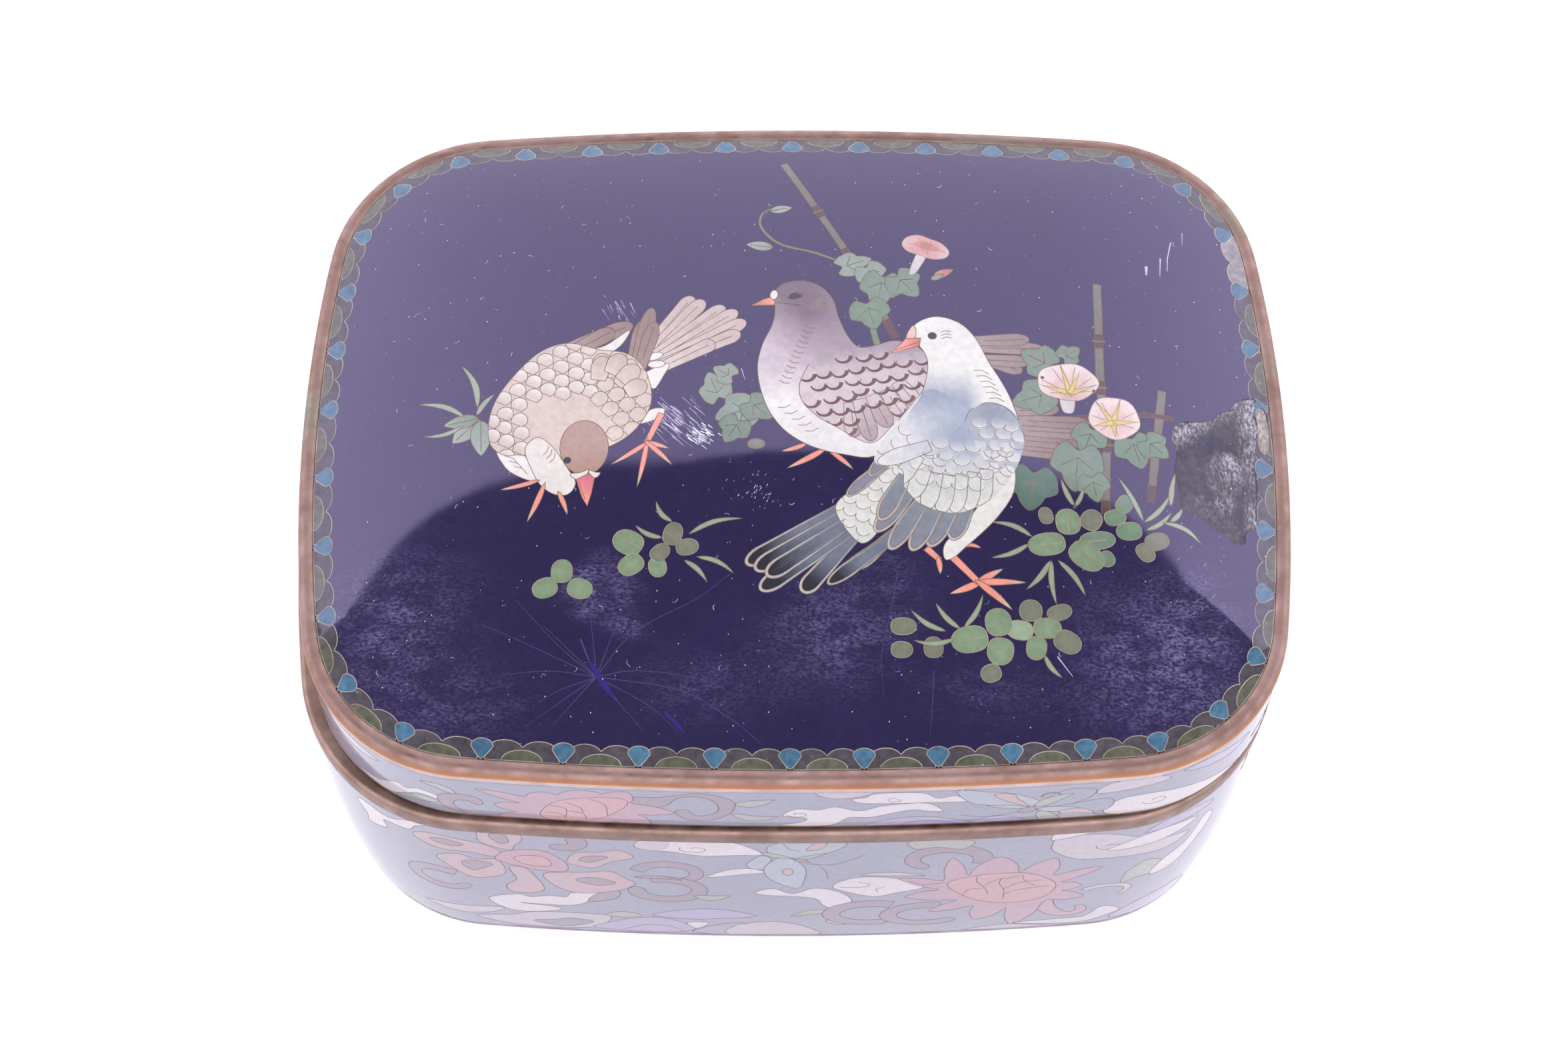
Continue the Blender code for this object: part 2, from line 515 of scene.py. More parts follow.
def lay_enamel(sheet, points, cells, name, place, material, node):
    """One group's cells as a thin slab of enamel on its surface, coloured corner by corner."""
    bake_share, bake_margin, sides_corner, sides_share = 0.95, 0.005, 0.97, 0.02
    shape = bmesh.new()
    colours = shape.loops.layers.float_color.new("enamel")
    bake = shape.loops.layers.uv.new("OFBake")
    verts = {}
    flat = {}
    outs = []
    for corners, _ in cells:
        for corner in corners:
            if corner not in verts:
                spot, out = place(points[corner].x, points[corner].y)
                verts[corner] = shape.verts.new(spot * MM)
                flat[verts[corner]] = points[corner]
                outs.append(out)
    low_x = min(p.x for p in flat.values())
    low_y = min(p.y for p in flat.values())
    span_x = max(p.x for p in flat.values()) - low_x
    span_y = max(p.y for p in flat.values()) - low_y
    if max(span_x, span_y) < 4 * min(span_x, span_y):
        span_x = span_y = max(span_x, span_y)
    scale_x, scale_y = bake_share / span_x, bake_share / span_y
    for corners, top in cells:
        face = shape.faces.new([verts[corner] for corner in corners])
        face.smooth = True
        paint = sheet.cells[top][1]
        middle = sum((points[corner] for corner in corners), Vector((0, 0))) / 3
        for loop in face.loops:
            spot = flat[loop.vert]
            near = spot.lerp(middle, 0.02)
            loop[colours] = (*paint(near.x, near.y), 0.0)[:4]
            loop[bake].uv = (spot.x - low_x) * scale_x + bake_margin, (spot.y - low_y) * scale_y + bake_margin
    shape.normal_update()
    top_faces = set(shape.faces)
    bmesh.ops.solidify(shape, geom=shape.faces[:], thickness=enamel_skin * MM)
    for face in shape.faces:
        if face not in top_faces:
            for loop in face.loops:
                uv = loop[bake].uv
                loop[bake].uv = sides_corner + sides_share * uv.x, sides_corner + sides_share * uv.y
    shape.verts.index_update()
    mesh = bpy.data.meshes.new(name)
    shape.to_mesh(mesh)
    shape.free()
    normals = [tuple(out) for out in outs] + [(0.0, 0.0, 0.0)] * (len(mesh.vertices) - len(outs))
    mesh.normals_split_custom_set_from_vertices(normals)
    return add_piece(name, mesh, material, node)


def lay_wires(points, edges, name, place, material, radius=wire_radius):
    """The wires of one group, as fine rods sunk in the enamel and standing slightly proud of it."""
    curve = bpy.data.curves.new(name, "CURVE")
    curve.dimensions = "3D"
    curve.bevel_depth = radius * MM
    curve.bevel_resolution = 1
    for run in chains(edges):
        line = curve.splines.new("POLY")
        closed = run[0] == run[-1] and len(run) > 3
        run = run[:-1] if closed else run
        line.points.add(len(run) - 1)
        for knot, corner in zip(line.points, run):
            spot, _ = place(points[corner].x, points[corner].y, wire_proud - radius)
            knot.co = (*(spot * MM), 1.0)
        line.use_cyclic_u = closed
        line.use_smooth = True
    return curve_piece(name, curve, material)


def curve_piece(name, curve, material, node=None):
    """A curve made a mesh, as a piece of copper."""
    drawn = bpy.data.objects.new(name + "_curve", curve)
    bpy.context.scene.collection.objects.link(drawn)
    bpy.context.view_layer.update()
    graph = bpy.context.evaluated_depsgraph_get()
    mesh = bpy.data.meshes.new_from_object(drawn.evaluated_get(graph))
    mesh.name = name
    bpy.data.objects.remove(drawn)
    return add_piece(name, mesh, material, node)


def swept_strip(name, section, centre_x, material, node):
    """A strip of metal bent round the plan, by its section of offsets and heights."""
    count = 240
    guide = bpy.data.curves.new(name + "_section", "CURVE")
    guide.dimensions = "2D"
    line = guide.splines.new("POLY")
    line.points.add(len(section) - 1)
    for point, (offset, height) in zip(line.points, section):
        point.co = (-offset * MM, height * MM, 0.0, 1.0)
    line.use_cyclic_u = True
    holder = bpy.data.objects.new(name + "_section", guide)
    curve = bpy.data.curves.new(name, "CURVE")
    curve.dimensions = "2D"
    curve.fill_mode = "NONE"
    way = curve.splines.new("POLY")
    way.points.add(count - 1)
    for point, spot in zip(way.points, plan.points(0.0, count)):
        point.co = ((centre_x + spot.x) * MM, spot.y * MM, 0.0, 1.0)
    way.use_cyclic_u = True
    curve.bevel_mode = "OBJECT"
    curve.bevel_object = holder
    piece = curve_piece(name, curve, material, node)
    piece.data.set_sharp_from_angle(angle=math.radians(35))
    bpy.data.objects.remove(holder)
    return piece


# Finishes


class Finish:
    """A Principled material with short ways to add its nodes."""

    def __init__(self, name, roughness, metallic=0.0):
        self.material = bpy.data.materials.new(name)
        self.material.use_nodes = True
        self.nodes = self.material.node_tree.nodes
        self.links = self.material.node_tree.links
        self.shader = self.nodes["Principled BSDF"]
        self.shader.inputs["Roughness"].default_value = roughness
        self.shader.inputs["Metallic"].default_value = metallic
        self.coords = self.nodes.new("ShaderNodeTexCoord").outputs["Object"]

    def link(self, source, target):
        self.links.new(source, target)

    def noise(self, scale, detail=3.0, stretch=None, fine_share=0.5):
        place = self.coords
        if stretch:
            mapping = self.nodes.new("ShaderNodeMapping")
            mapping.inputs["Scale"].default_value = stretch
            self.link(self.coords, mapping.inputs["Vector"])
            place = mapping.outputs["Vector"]
        texture = self.nodes.new("ShaderNodeTexNoise")
        texture.inputs["Scale"].default_value = scale
        texture.inputs["Detail"].default_value = detail
        texture.inputs["Roughness"].default_value = fine_share
        self.link(place, texture.inputs["Vector"])
        return texture.outputs["Fac"]

    def dots(self, scale, size, share=0.5):
        """Small round spots, 1 inside them. The share says how many of the places hold one."""
        texture = self.nodes.new("ShaderNodeTexVoronoi")
        texture.inputs["Scale"].default_value = scale
        self.link(self.coords, texture.inputs["Vector"])
        near = self.span(texture.outputs["Distance"], size, size * 0.55, 0.0, 1.0)
        chosen = self.nodes.new("ShaderNodeSeparateColor")
        self.link(texture.outputs["Color"], chosen.inputs["Color"])
        some = self.span(chosen.outputs["Red"], share, share * 0.98, 0.0, 1.0)
        return self.times(near, some)

    def times(self, first, second):
        node = self.nodes.new("ShaderNodeMath")
        node.operation = "MULTIPLY"
        self.link(first, node.inputs[0])
        self.link(second, node.inputs[1])
        return node.outputs[0]

    def height(self):
        parts = self.nodes.new("ShaderNodeSeparateXYZ")
        self.link(self.coords, parts.inputs["Vector"])
        return parts.outputs["Z"]

    def span(self, source, low, high, to_low, to_high):
        node = self.nodes.new("ShaderNodeMapRange")
        node.inputs["From Min"].default_value = low
        node.inputs["From Max"].default_value = high
        node.inputs["To Min"].default_value = to_low
        node.inputs["To Max"].default_value = to_high
        self.link(source, node.inputs["Value"])
        return node.outputs["Result"]

    def blend(self, share, first, second, kind="MIX"):
        node = self.nodes.new("ShaderNodeMix")
        node.data_type = "RGBA"
        node.blend_type = kind
        sockets = [node.inputs[0], node.inputs[6], node.inputs[7]]
        for socket, value in zip(sockets, (share, first, second)):
            if isinstance(value, bpy.types.NodeSocket):
                self.link(value, socket)
            elif isinstance(value, tuple):
                socket.default_value = (*value, 1.0)
            else:
                socket.default_value = value
        return node.outputs[2]

    def bump(self, height, strength, distance):
        node = self.nodes.new("ShaderNodeBump")
        node.inputs["Strength"].default_value = strength
        node.inputs["Distance"].default_value = distance
        self.link(height, node.inputs["Height"])
        self.link(node.outputs["Normal"], self.shader.inputs["Normal"])

    def colour(self, source):
        self.link(source, self.shader.inputs["Base Color"])

    def roughness(self, source):
        self.link(source, self.shader.inputs["Roughness"])


lid_sheen = (0.74, (0.70, 0.62, 1.0))


def enamel_finish(name, mottle, speck_size, speck_share, speck_colour, pit_share=0.0, roughness=0.06,
                  sheen=None, veil=None):
    """Polished enamel in its cells' own colours, mottled, with specks and pits.

    The sheen is its level and tint. The veil is the colour of the dust or fibres on it, their fineness and
    their stretch, as thick as the cells' fourth value says.
    """
    finish = Finish(name, roughness)
    if sheen:
        level, tint = sheen
        finish.shader.inputs["Specular IOR Level"].default_value = level
        finish.shader.inputs["Specular Tint"].default_value = (*tint, 1.0)
    attribute = finish.nodes.new("ShaderNodeAttribute")
    attribute.attribute_name = "enamel"
    shade = finish.span(finish.noise(900.0, 4.0), 0.3, 0.7, 1.0 - mottle, 1.0 + mottle)
    broad = finish.span(finish.noise(90.0, 2.0), 0.3, 0.7, 1.0 - mottle * 0.6, 1.0 + mottle * 0.6)
    colour = finish.blend(1.0, attribute.outputs["Color"], shade, "MULTIPLY")
    colour = finish.blend(1.0, colour, broad, "MULTIPLY")
    if veil:
        veil_colour, fineness, stretch = veil
        grain = finish.span(finish.noise(fineness, 8.0, stretch, 0.75), 0.45, 0.58, 0.04, 1.0)
        cloud = finish.span(finish.noise(fineness / 8, 3.0, stretch), 0.38, 0.6, 0.25, 1.0)
        share = finish.times(finish.times(grain, cloud), attribute.outputs["Alpha"])
        colour = finish.blend(share, colour, veil_colour)
    colour = finish.blend(finish.dots(520.0, speck_size, speck_share), colour, speck_colour)
    colour = finish.blend(finish.dots(850.0, speck_size * 1.3, speck_share * 0.5), colour,
                          tuple(level * 0.55 for level in speck_colour))
    if pit_share:
        colour = finish.blend(finish.dots(700.0, 0.05, pit_share), colour, (0.01, 0.009, 0.012))
    finish.colour(colour)
    finish.roughness(finish.span(finish.noise(120.0, 3.0), 0.35, 0.65, roughness * 0.7, roughness * 1.5))
    finish.bump(finish.noise(120.0, 1.0), 0.02, 0.0001)
    return finish.material


def copper_finish(name, light, dark, stain, roughness, foot=None):
    """Old copper: two browns, stained in patches, with fine wear.

    The foot is the colour of its low edge, and the heights where that ends.
    """
    stain_share = 0.62
    finish = Finish(name, roughness, 1.0)
    wear = finish.span(finish.noise(220.0, 5.0), 0.35, 0.65, 0.0, 1.0)
    colour = finish.blend(wear, dark, light)
    if foot:
        low_colour, low, high = foot
        colour = finish.blend(finish.span(finish.height(), low * MM, high * MM, 0.0, 1.0), low_colour, colour)
    patches = finish.span(finish.noise(45.0, 4.0), stain_share, stain_share + 0.12, 0.0, 1.0)
    colour = finish.blend(patches, colour, stain)
    finish.colour(colour)
    finish.roughness(finish.span(finish.noise(400.0, 3.0), 0.3, 0.7, roughness * 0.8, roughness * 1.3))
    finish.bump(finish.noise(1500.0, 3.0), 0.1, 0.00003)
    return finish.material


bead_copper = copper_finish(
    "bead_copper", (0.245, 0.165, 0.153), (0.19, 0.120, 0.107), (0.19, 0.17, 0.14), 0.55,
    foot=((0.36, 0.165, 0.07), lid_rim_low.z + 2.2, lid_rim_low.z + 3.7),
)
line_copper = copper_finish("line_copper", (0.42, 0.19, 0.07), (0.34, 0.14, 0.06), (0.25, 0.12, 0.08), 0.5)
# Pale copper for the thin strips under the rims: its pale colour is a painted highlight line under the lid's
# bead and a painted reflection line under the base rim
painted_highlight_copper = copper_finish("painted_highlight_copper", (0.47, 0.40, 0.40), (0.40, 0.32, 0.31), (0.36, 0.28, 0.24), 0.5)
edge_copper = copper_finish("edge_copper", (0.20, 0.12, 0.08), (0.12, 0.07, 0.05), (0.14, 0.11, 0.08), 0.5)
rim_copper = copper_finish("rim_copper", (0.25, 0.17, 0.148), (0.17, 0.11, 0.09), (0.18, 0.145, 0.11), 0.45)
foot_copper = copper_finish("foot_copper", (0.36, 0.33, 0.38), (0.28, 0.24, 0.28), (0.24, 0.22, 0.20), 0.5)
side_wire = copper_finish("side_wire", (0.13, 0.10, 0.09), (0.08, 0.065, 0.06), (0.07, 0.06, 0.05), 0.45)
pale_wire = copper_finish("pale_wire", (0.33, 0.29, 0.24), (0.22, 0.19, 0.15), (0.20, 0.16, 0.12), 0.45)
dim_wire = copper_finish("dim_wire", (0.27, 0.22, 0.17), (0.17, 0.135, 0.10), (0.14, 0.11, 0.08), 0.45)
brown_wire = copper_finish("brown_wire", (0.17, 0.115, 0.09), (0.10, 0.07, 0.055), (0.10, 0.075, 0.055), 0.45)
counter_enamel = Finish("counter_enamel", 0.22)
counter_enamel.colour(counter_enamel.blend(counter_enamel.span(
    counter_enamel.noise(160.0, 5.0), 0.4, 0.6, 0.0, 1.0,
), (0.10, 0.13, 0.20), (0.16, 0.20, 0.29)))
counter_enamel.bump(counter_enamel.noise(500.0, 3.0), 0.15, 0.0001)

ground_enamel = enamel_finish(
    "ground_enamel", 0.10, 0.06, 0.6, (0.42, 0.38, 0.50), roughness=0.028, sheen=lid_sheen,
    veil=((0.10, 0.09, 0.18), 2000.0, (0.7, 1.3, 1.0)),
)
border_enamel = enamel_finish(
    "border_enamel", 0.26, 0.07, 0.6, (0.3, 0.28, 0.3), 0.12, sheen=(0.5, (0.74, 0.68, 1.0)),
)
picture_enamel = enamel_finish("picture_enamel", 0.09, 0.03, 0.2, (0.10, 0.08, 0.08), sheen=lid_sheen)
patch_putty = enamel_finish(
    "patch_putty", 0.25, 0.08, 0.3, (0.4, 0.38, 0.42), roughness=0.5, sheen=(0.3, (1.0, 1.0, 1.0)),
    veil=((0.31, 0.29, 0.35), 1700.0, (1.4, 0.7, 1.0)),
)
side_enamel = enamel_finish("side_enamel", 0.05, 0.02, 0.1, (0.5, 0.5, 0.55), 0.35)


# Colours of the enamels: how they look on the box, brought back to the enamel's own colour

haze = (0.145, 0.128, 0.200)
thin_haze = (0.012, 0.012, 0.016)
light_level = 2.2


def glaze(red, green, blue, veil=haze):
    """The enamel's own colour, from how it looks under a veil of reflected light."""
    return tuple(max(level - over, 0.004) / light_level for level, over in zip(tone(red, green, blue), veil))


def shaded(red, green, blue):
    """The same for a place where nothing bright is reflected."""
    return glaze(red, green, blue, thin_haze)


navy = (0.0113, 0.0087, 0.033)


# The lid's picture

lid_sheet = EnamelSheet()
border_repeats = 41
border_inset = 4.0
border_start = -0.9
scallop_depth = 3.1
fan_depth = 3.15
border_length = plan.round - 2 * math.pi * border_inset


def border_place(length, depth):
    """A place in the border, by its length round the border's own curve and its depth in from the rim."""
    length %= border_length
    quarter = ((plan.long_length, plan.long_radius), (plan.corner_length, corner_radius),
               (plan.short_length, plan.short_radius))
    along = 0.0
    for run, radius in quarter + quarter[::-1] + quarter + quarter[::-1]:
        shrink = 1 - border_inset / radius
        if length <= run * shrink:
            along += length / shrink
            break
        along += run
        length -= run * shrink
    point, _ = plan.at(along, enamel_edge - depth)
    return point


def border_middle(repeat, pitch):
    """Where a repeat's fan stands: laid a little close from the front's middle on, and wide at last."""
    most_slip, closing = 7, 31
    slip = most_slip * min(repeat / closing, max(38.0 - repeat, 0.0) / 7.0)
    return repeat * pitch + border_start - slip


def ground_dust():
    """Where the ground is dusty or rubbed dull: places, spreads and strengths."""
    zones = [
        ((-63, -35), (10, 11), 0.75),
        ((-52, -49), (10, 5), 0.4),
        ((5, -38), (8, 7), 0.7),
        ((14, -30), (6, 8), 0.3),
        ((56, -42), (11, 10), 1.1),
        ((63, -33), (6, 8), 0.5),
        ((30, -47), (10, 4), 0.25),
        ((-14, -46), (10, 5), 0.3),
    ]
    ghost = ((-35.4, -31), (-33.4, -28), (-30.4, -26.2), (-27.6, -28), (-26.3, -31.4), (-32.6, -34),
             (-29.2, -35.2), (-25.6, -36.4), (-31.8, -31))
    return zones + [(place, (2, 1.8), 0.75) for place in ghost]


def ground_paint(x, y):
    """The ground's colour, and how much dust lies on it."""
    dust = 0.0
    for (cx, cy), (rx, ry), strength in ground_dust():
        far = ((x - cx) / rx) ** 2 + ((y - cy) / ry) ** 2
        if far < 6.0:
            dust += strength * math.exp(-far)
    return (*navy, min(dust, 1.0))


def draw_ground():
    """The dark blue ground, as the sheet's first cell, and points spread over it."""
    outline = [tuple(p) for p in plan.points(enamel_edge, 480)]
    cell = lid_sheet.cell(outline, ground_paint, "ground")
    step = 2.0
    rows = int(half_depth / step / 0.866) + 1
    for row in range(-rows, rows + 1):
        for column in range(-int(half_width / step) - 1, int(half_width / step) + 2):
            x = (column + 0.5 * (row % 2)) * step
            y = row * step * 0.866
            if math.hypot(x, y) < plan.reach(x, y, enamel_edge - 0.5):
                lid_sheet.fine.append(Vector((x, y)))
    return cell


def draw_border():
    pitch = border_length / border_repeats
    grey = glaze(92, 88, 96, thin_haze)
    olive = glaze(106, 109, 95, thin_haze)
    blue = glaze(88, 127, 156, thin_haze)
    worn_grey = glaze(165, 160, 166, thin_haze)
    worn_repeat = 13
    lobe_place, lobe_reach = 2.45, 2.85
    olive_reach, olive_depth = 3.2, 1.7
    fan_reach, fan_shoulder = 1.75, 2
    rim_gap = 0.03

    def bottom(middle, reach, depth):
        """The points along the rim, back from one end of a cell's bottom to the other."""
        shares = (-1.0, -0.67, -0.33, 0.0, 0.33, 0.67, 1.0)
        return [border_place(middle + reach * share, depth) for share in shares]

    for repeat in range(border_repeats):
        middle = (border_middle(repeat, pitch) + border_middle(repeat + 1, pitch)) / 2
        wide = (border_middle(repeat + 1, pitch) - border_middle(repeat, pitch)) / pitch
        worn = repeat == worn_repeat
        outline = bottom(middle, (lobe_place + lobe_reach) * wide, rim_gap)
        for side in (1, -1):
            for step in range(1, 11) if side > 0 else range(0, 10):
                angle = math.pi * (step if side > 0 else step + 2.2) / 12.2
                across = side * lobe_place + lobe_reach * math.cos(angle)
                outline.append(border_place(middle + across * wide, scallop_depth * math.sin(angle) ** 0.6))
        lid_sheet.cell(outline, worn_grey if worn else grey, "border")
        dome = bottom(middle, olive_reach, 2 * rim_gap)
        for step in range(1, 10):
            angle = math.pi * step / 10
            dome.append(border_place(middle + olive_reach * math.cos(angle), olive_depth * math.sin(angle)))
        if not worn:
            lid_sheet.cell(dome, olive, "border")
    for repeat in range(border_repeats):
        middle = border_middle(repeat, pitch)
        outline = []
        for step in range(9):
            angle = math.pi * step / 8
            rise = (fan_depth - fan_shoulder) * math.sin(angle)
            outline.append(border_place(middle + fan_reach * math.cos(angle), fan_shoulder + rise))
        for side in (-1, 1):
            shares = range(1, 6) if side < 0 else range(5, 0, -1)
            for step in shares:
                share = step / 6
                outline.append(border_place(
                    middle + side * fan_reach * (1 - share) ** 0.8, fan_shoulder * (1 - share),
                ))
            if side < 0:
                outline.append(border_place(middle, 0.05))
        lid_sheet.cell(outline, blue, "border")


# Plants

mint = glaze(172, 184, 182)
leaf_green = glaze(150, 169, 160)
bright_green = shaded(137, 160, 129)
dull_green = glaze(156, 171, 167)
olive_green = shaded(130, 134, 116)
pale_green = shaded(160, 180, 152)
cane_olive = glaze(158, 155, 157)
cane_brown = glaze(136, 117, 128)
stalk_green = glaze(152, 166, 156)


def draw_leaf(root, tip, width, colour):
    """A narrow leaf with its rib."""
    outline = blade(root, tip, width, 0.0, 14, 0.8, 0.75)
    shade = mix(colour, (0.9, 0.95, 0.9), 0.07)
    cell = lid_sheet.cell(outline, fade(colour, shade, root, tip), "leaves")
    length, place = frame_at(root, tip)
    lid_sheet.line([place(length * share, 0.0) for share in (0.03, 0.3, 0.6, 0.86)], "leaves", cell)


def ivy_outline(x, y, size, turn, squat):
    """An ivy leaf of five lobes, by the angles from its tip and how far out its edge is there."""
    polar = ((180, 0.50), (150, 0.94), (124, 1.00), (100, 1.00), (76, 1.06), (60, 0.92), (44, 0.80),
             (24, 0.98), (0, 1.24), (-24, 0.98), (-44, 0.80), (-60, 0.92), (-76, 1.06), (-100, 1.00),
             (-124, 1.00), (-150, 0.94))
    place = turned(x, y, turn)
    made = []
    for angle, far in polar:
        angle = math.radians(angle)
        made.append(place(size * far * math.cos(angle), size * squat * far * math.sin(angle)))
    return smooth_loop(made, 4)


def draw_ivy(x, y, size, turn, colour, squat=1.0):
    """An ivy leaf with a rib to each of its three front lobes."""
    shade = glow(mix(colour, (0.8, 0.9, 0.85), 0.02), colour, (x, y), size)
    cell = lid_sheet.cell(ivy_outline(x, y, size, turn, squat), shade, "leaves")
    for lobe, far in ((0, 0.8), (70, 0.6), (-70, 0.6)):
        rib = [turned(x, y, turn)(-0.2 * size, 0.0), turned(x, y, turn + lobe)(size * far, 0.0)]
        lid_sheet.line(rib, "leaves", cell)


def draw_blade(root, tip, width, bend):
    lid_sheet.cell(blade(root, tip, width, bend), pale_green, "leaves")


def draw_clover_leaf(x, y, across, along, turn, colour, group="clover", rib=True):
    """A clover leaf, with a rib if it is a large one."""
    wire_share, ribbed_from = 0.94, 2.1
    across, along = across * wire_share, along * wire_share
    outline = clover_outline(x, y, across, along, turn)
    cell = lid_sheet.cell(outline, glow(mix(colour, (0.85, 0.95, 0.85), 0.03), colour, (x, y), across), group)
    if rib and across > ribbed_from:
        place = turned(x, y, turn)
        lid_sheet.line([place(-0.85 * across, 0.0), place(0.6 * across, 0.0)], group, cell)


def draw_cane(path, width):
    """A cane of straight joints: each a strip, with a brown node between them."""
    node_half, ring_half, ring_width = 1.3, 0.8, 0.34
    for start, end in zip(path, path[1:]):
        length, place = frame_at(start, end)
        lid_sheet.cell(strip([place(0, 0), place(length * 0.5, 0), place(length, 0)], width, width),
                       fade(cane_olive, mix(cane_olive, cane_brown, 0.25), start, end), "canes")
    way = (Vector(path[-1]) - Vector(path[0])).normalized()
    side = Vector((-way.y, way.x)) * width * ring_half
    for joint in path[1:-1]:
        joint = Vector(joint)
        lid_sheet.cell(strip([joint - way * node_half, joint, joint + way * node_half], width, width * 1.12),
                       cane_brown, "canes")
        lid_sheet.cell(strip([joint + side, joint - side], ring_width, ring_width), cane_olive, "canes")


def draw_cane_foot(start, end, width):
    lid_sheet.cell(strip([start, end], width, width * 1.05), cane_brown, "canes")


def draw_plants_behind():
    draw_cane(((-1.6, 52.7), (4.1, 41.5), (9.2, 31.7)), 1.15)
    draw_cane_foot((8.3, 33.4), (9.4, 31.3), 1.15)
    draw_cane(((11.6, 26.2), (15, 18.8)), 1.3)
    draw_cane_foot((15, 18.8), (16.6, 15.2), 1.35)
    draw_cane(((50.1, 26.8), (49.8, 15.6), (49.6, 6.7), (50.1, -4), (49.4, -14.4)), 1.35)
    draw_cane_foot((49.5, -14.2), (49.3, -16.6), 1.35)
    draw_cane(((59.8, 6.8), (57.1, -11)), 1.35)
    draw_cane_foot((57.1, -11), (56.6, -14.2), 1.3)
    lid_sheet.cell(strip(smooth_path(((44, 0.6), (52, 1.4), (57, 2), (61.4, 1.6))), 0.9, 0.8),
                   cane_brown, "canes")
    tendril = smooth_path((
        (8.2, 30.4), (3.4, 32.5), (-1.6, 34), (-4.2, 36), (-5.6, 38.6), (-5.2, 41), (-3.6, 42.2),
    ))
    lid_sheet.cell(strip(tendril, 0.42, 0.3), stalk_green, "leaves")
    draw_leaf((-4, 41.6), (-0.3, 42.4), 1.7, mint)
    draw_leaf((-3.5, 33.6), (-7.9, 34.3), 1.9, mint)
    draw_ivy(9.3, 30.0, 3.0, 20, mint, 0.8)
    draw_ivy(12.6, 28.3, 2.6, -60, mint)
    draw_ivy(14.3, 25.6, 3.7, -100, dull_green, 0.9)
    draw_ivy(17.9, 26.4, 3.0, -50, dull_green)
    lid_sheet.cell(strip(smooth_path(((13.4, 20.4), (12.9, 17.2), (13.7, 13.2))), 1.05, 1.05), stalk_green,
                   "leaves")
    draw_ivy(12.3, 20.6, 3.0, -75, leaf_green, 1.1)


def draw_side_flower():
    """The upper flower, seen from the side, with its tube and a bud."""
    white = glaze(236, 214, 220)
    pink = glaze(236, 178, 184)
    deep = glaze(212, 144, 154)
    lid_sheet.shape(((20.9, 33), (20, 31.4), (19, 28.3), (19.9, 28.1), (21.4, 30.6), (22.1, 32.6)),
                    glaze(232, 228, 236), "flowers")
    outline = smooth_loop((
        (18, 34.4), (18.9, 35.9), (20.8, 36.3), (22.6, 35.5), (24.4, 34.6), (25.7, 32.8), (25, 31.4),
        (22.9, 31.2), (20.9, 32), (18.8, 32.9),
    ))
    cell = lid_sheet.cell(outline, glow(pink, white, (21.8, 33.7), 3.9, 1.6), "flowers")
    lid_sheet.shape(((20, 34.6), (21.6, 34.9), (23.6, 33.9), (24.2, 32.9), (22, 33)),
                    glow(deep, pink, (22.2, 33.9), 2.0), "flowers", "tint", cell)
    for end in ((18.9, 34.6), (20.6, 35.9), (23, 35), (25.2, 32.6), (22.4, 31.5)):
        lid_sheet.line([(21.9, 33.6), end], "flowers", cell)
    lid_sheet.cell(blade((23.1, 27.4), (26.3, 29), 1.5, 0.1), fade(pink, deep, (23.4, 27.5), (26.2, 28.9)),
                   "flowers")
    lid_sheet.cell(blade((22.6, 27), (24.7, 28.1), 1.1, -0.1), mint, "leaves")


def draw_open_flower(x, y, across, along, turn, throat, star):
    """An open flower: a wavy rim, pink shading to white, and a yellow star."""
    white = glaze(255, 240, 244)
    pink = glaze(246, 200, 203)
    yellow = glaze(246, 226, 158)
    place = turned(x, y, turn)
    outline = []
    for step in range(30):
        angle = 2 * math.pi * step / 30
        wave = 1 + 0.035 * math.cos(5 * angle)
        outline.append(place(across * wave * math.cos(angle), along * wave * math.sin(angle)))
    cell = lid_sheet.cell(outline, glow(pink, white, throat, across, 1.1), "flowers")
    for tip in star:
        length, ray = frame_at(throat, tip)
        lid_sheet.cell([ray(0, -0.5), ray(length, 0.0), ray(0, 0.5)], yellow, "flowers", "wired", cell)
    for step in range(7):
        angle = 2 * math.pi * (step + 0.4) / 7
        end = (x + across * 0.85 * math.cos(angle), y + along * 0.85 * math.sin(angle))
        start = (throat[0] * 0.6 + end[0] * 0.4, throat[1] * 0.6 + end[1] * 0.4)
        lid_sheet.line([start, end], "flowers", cell)


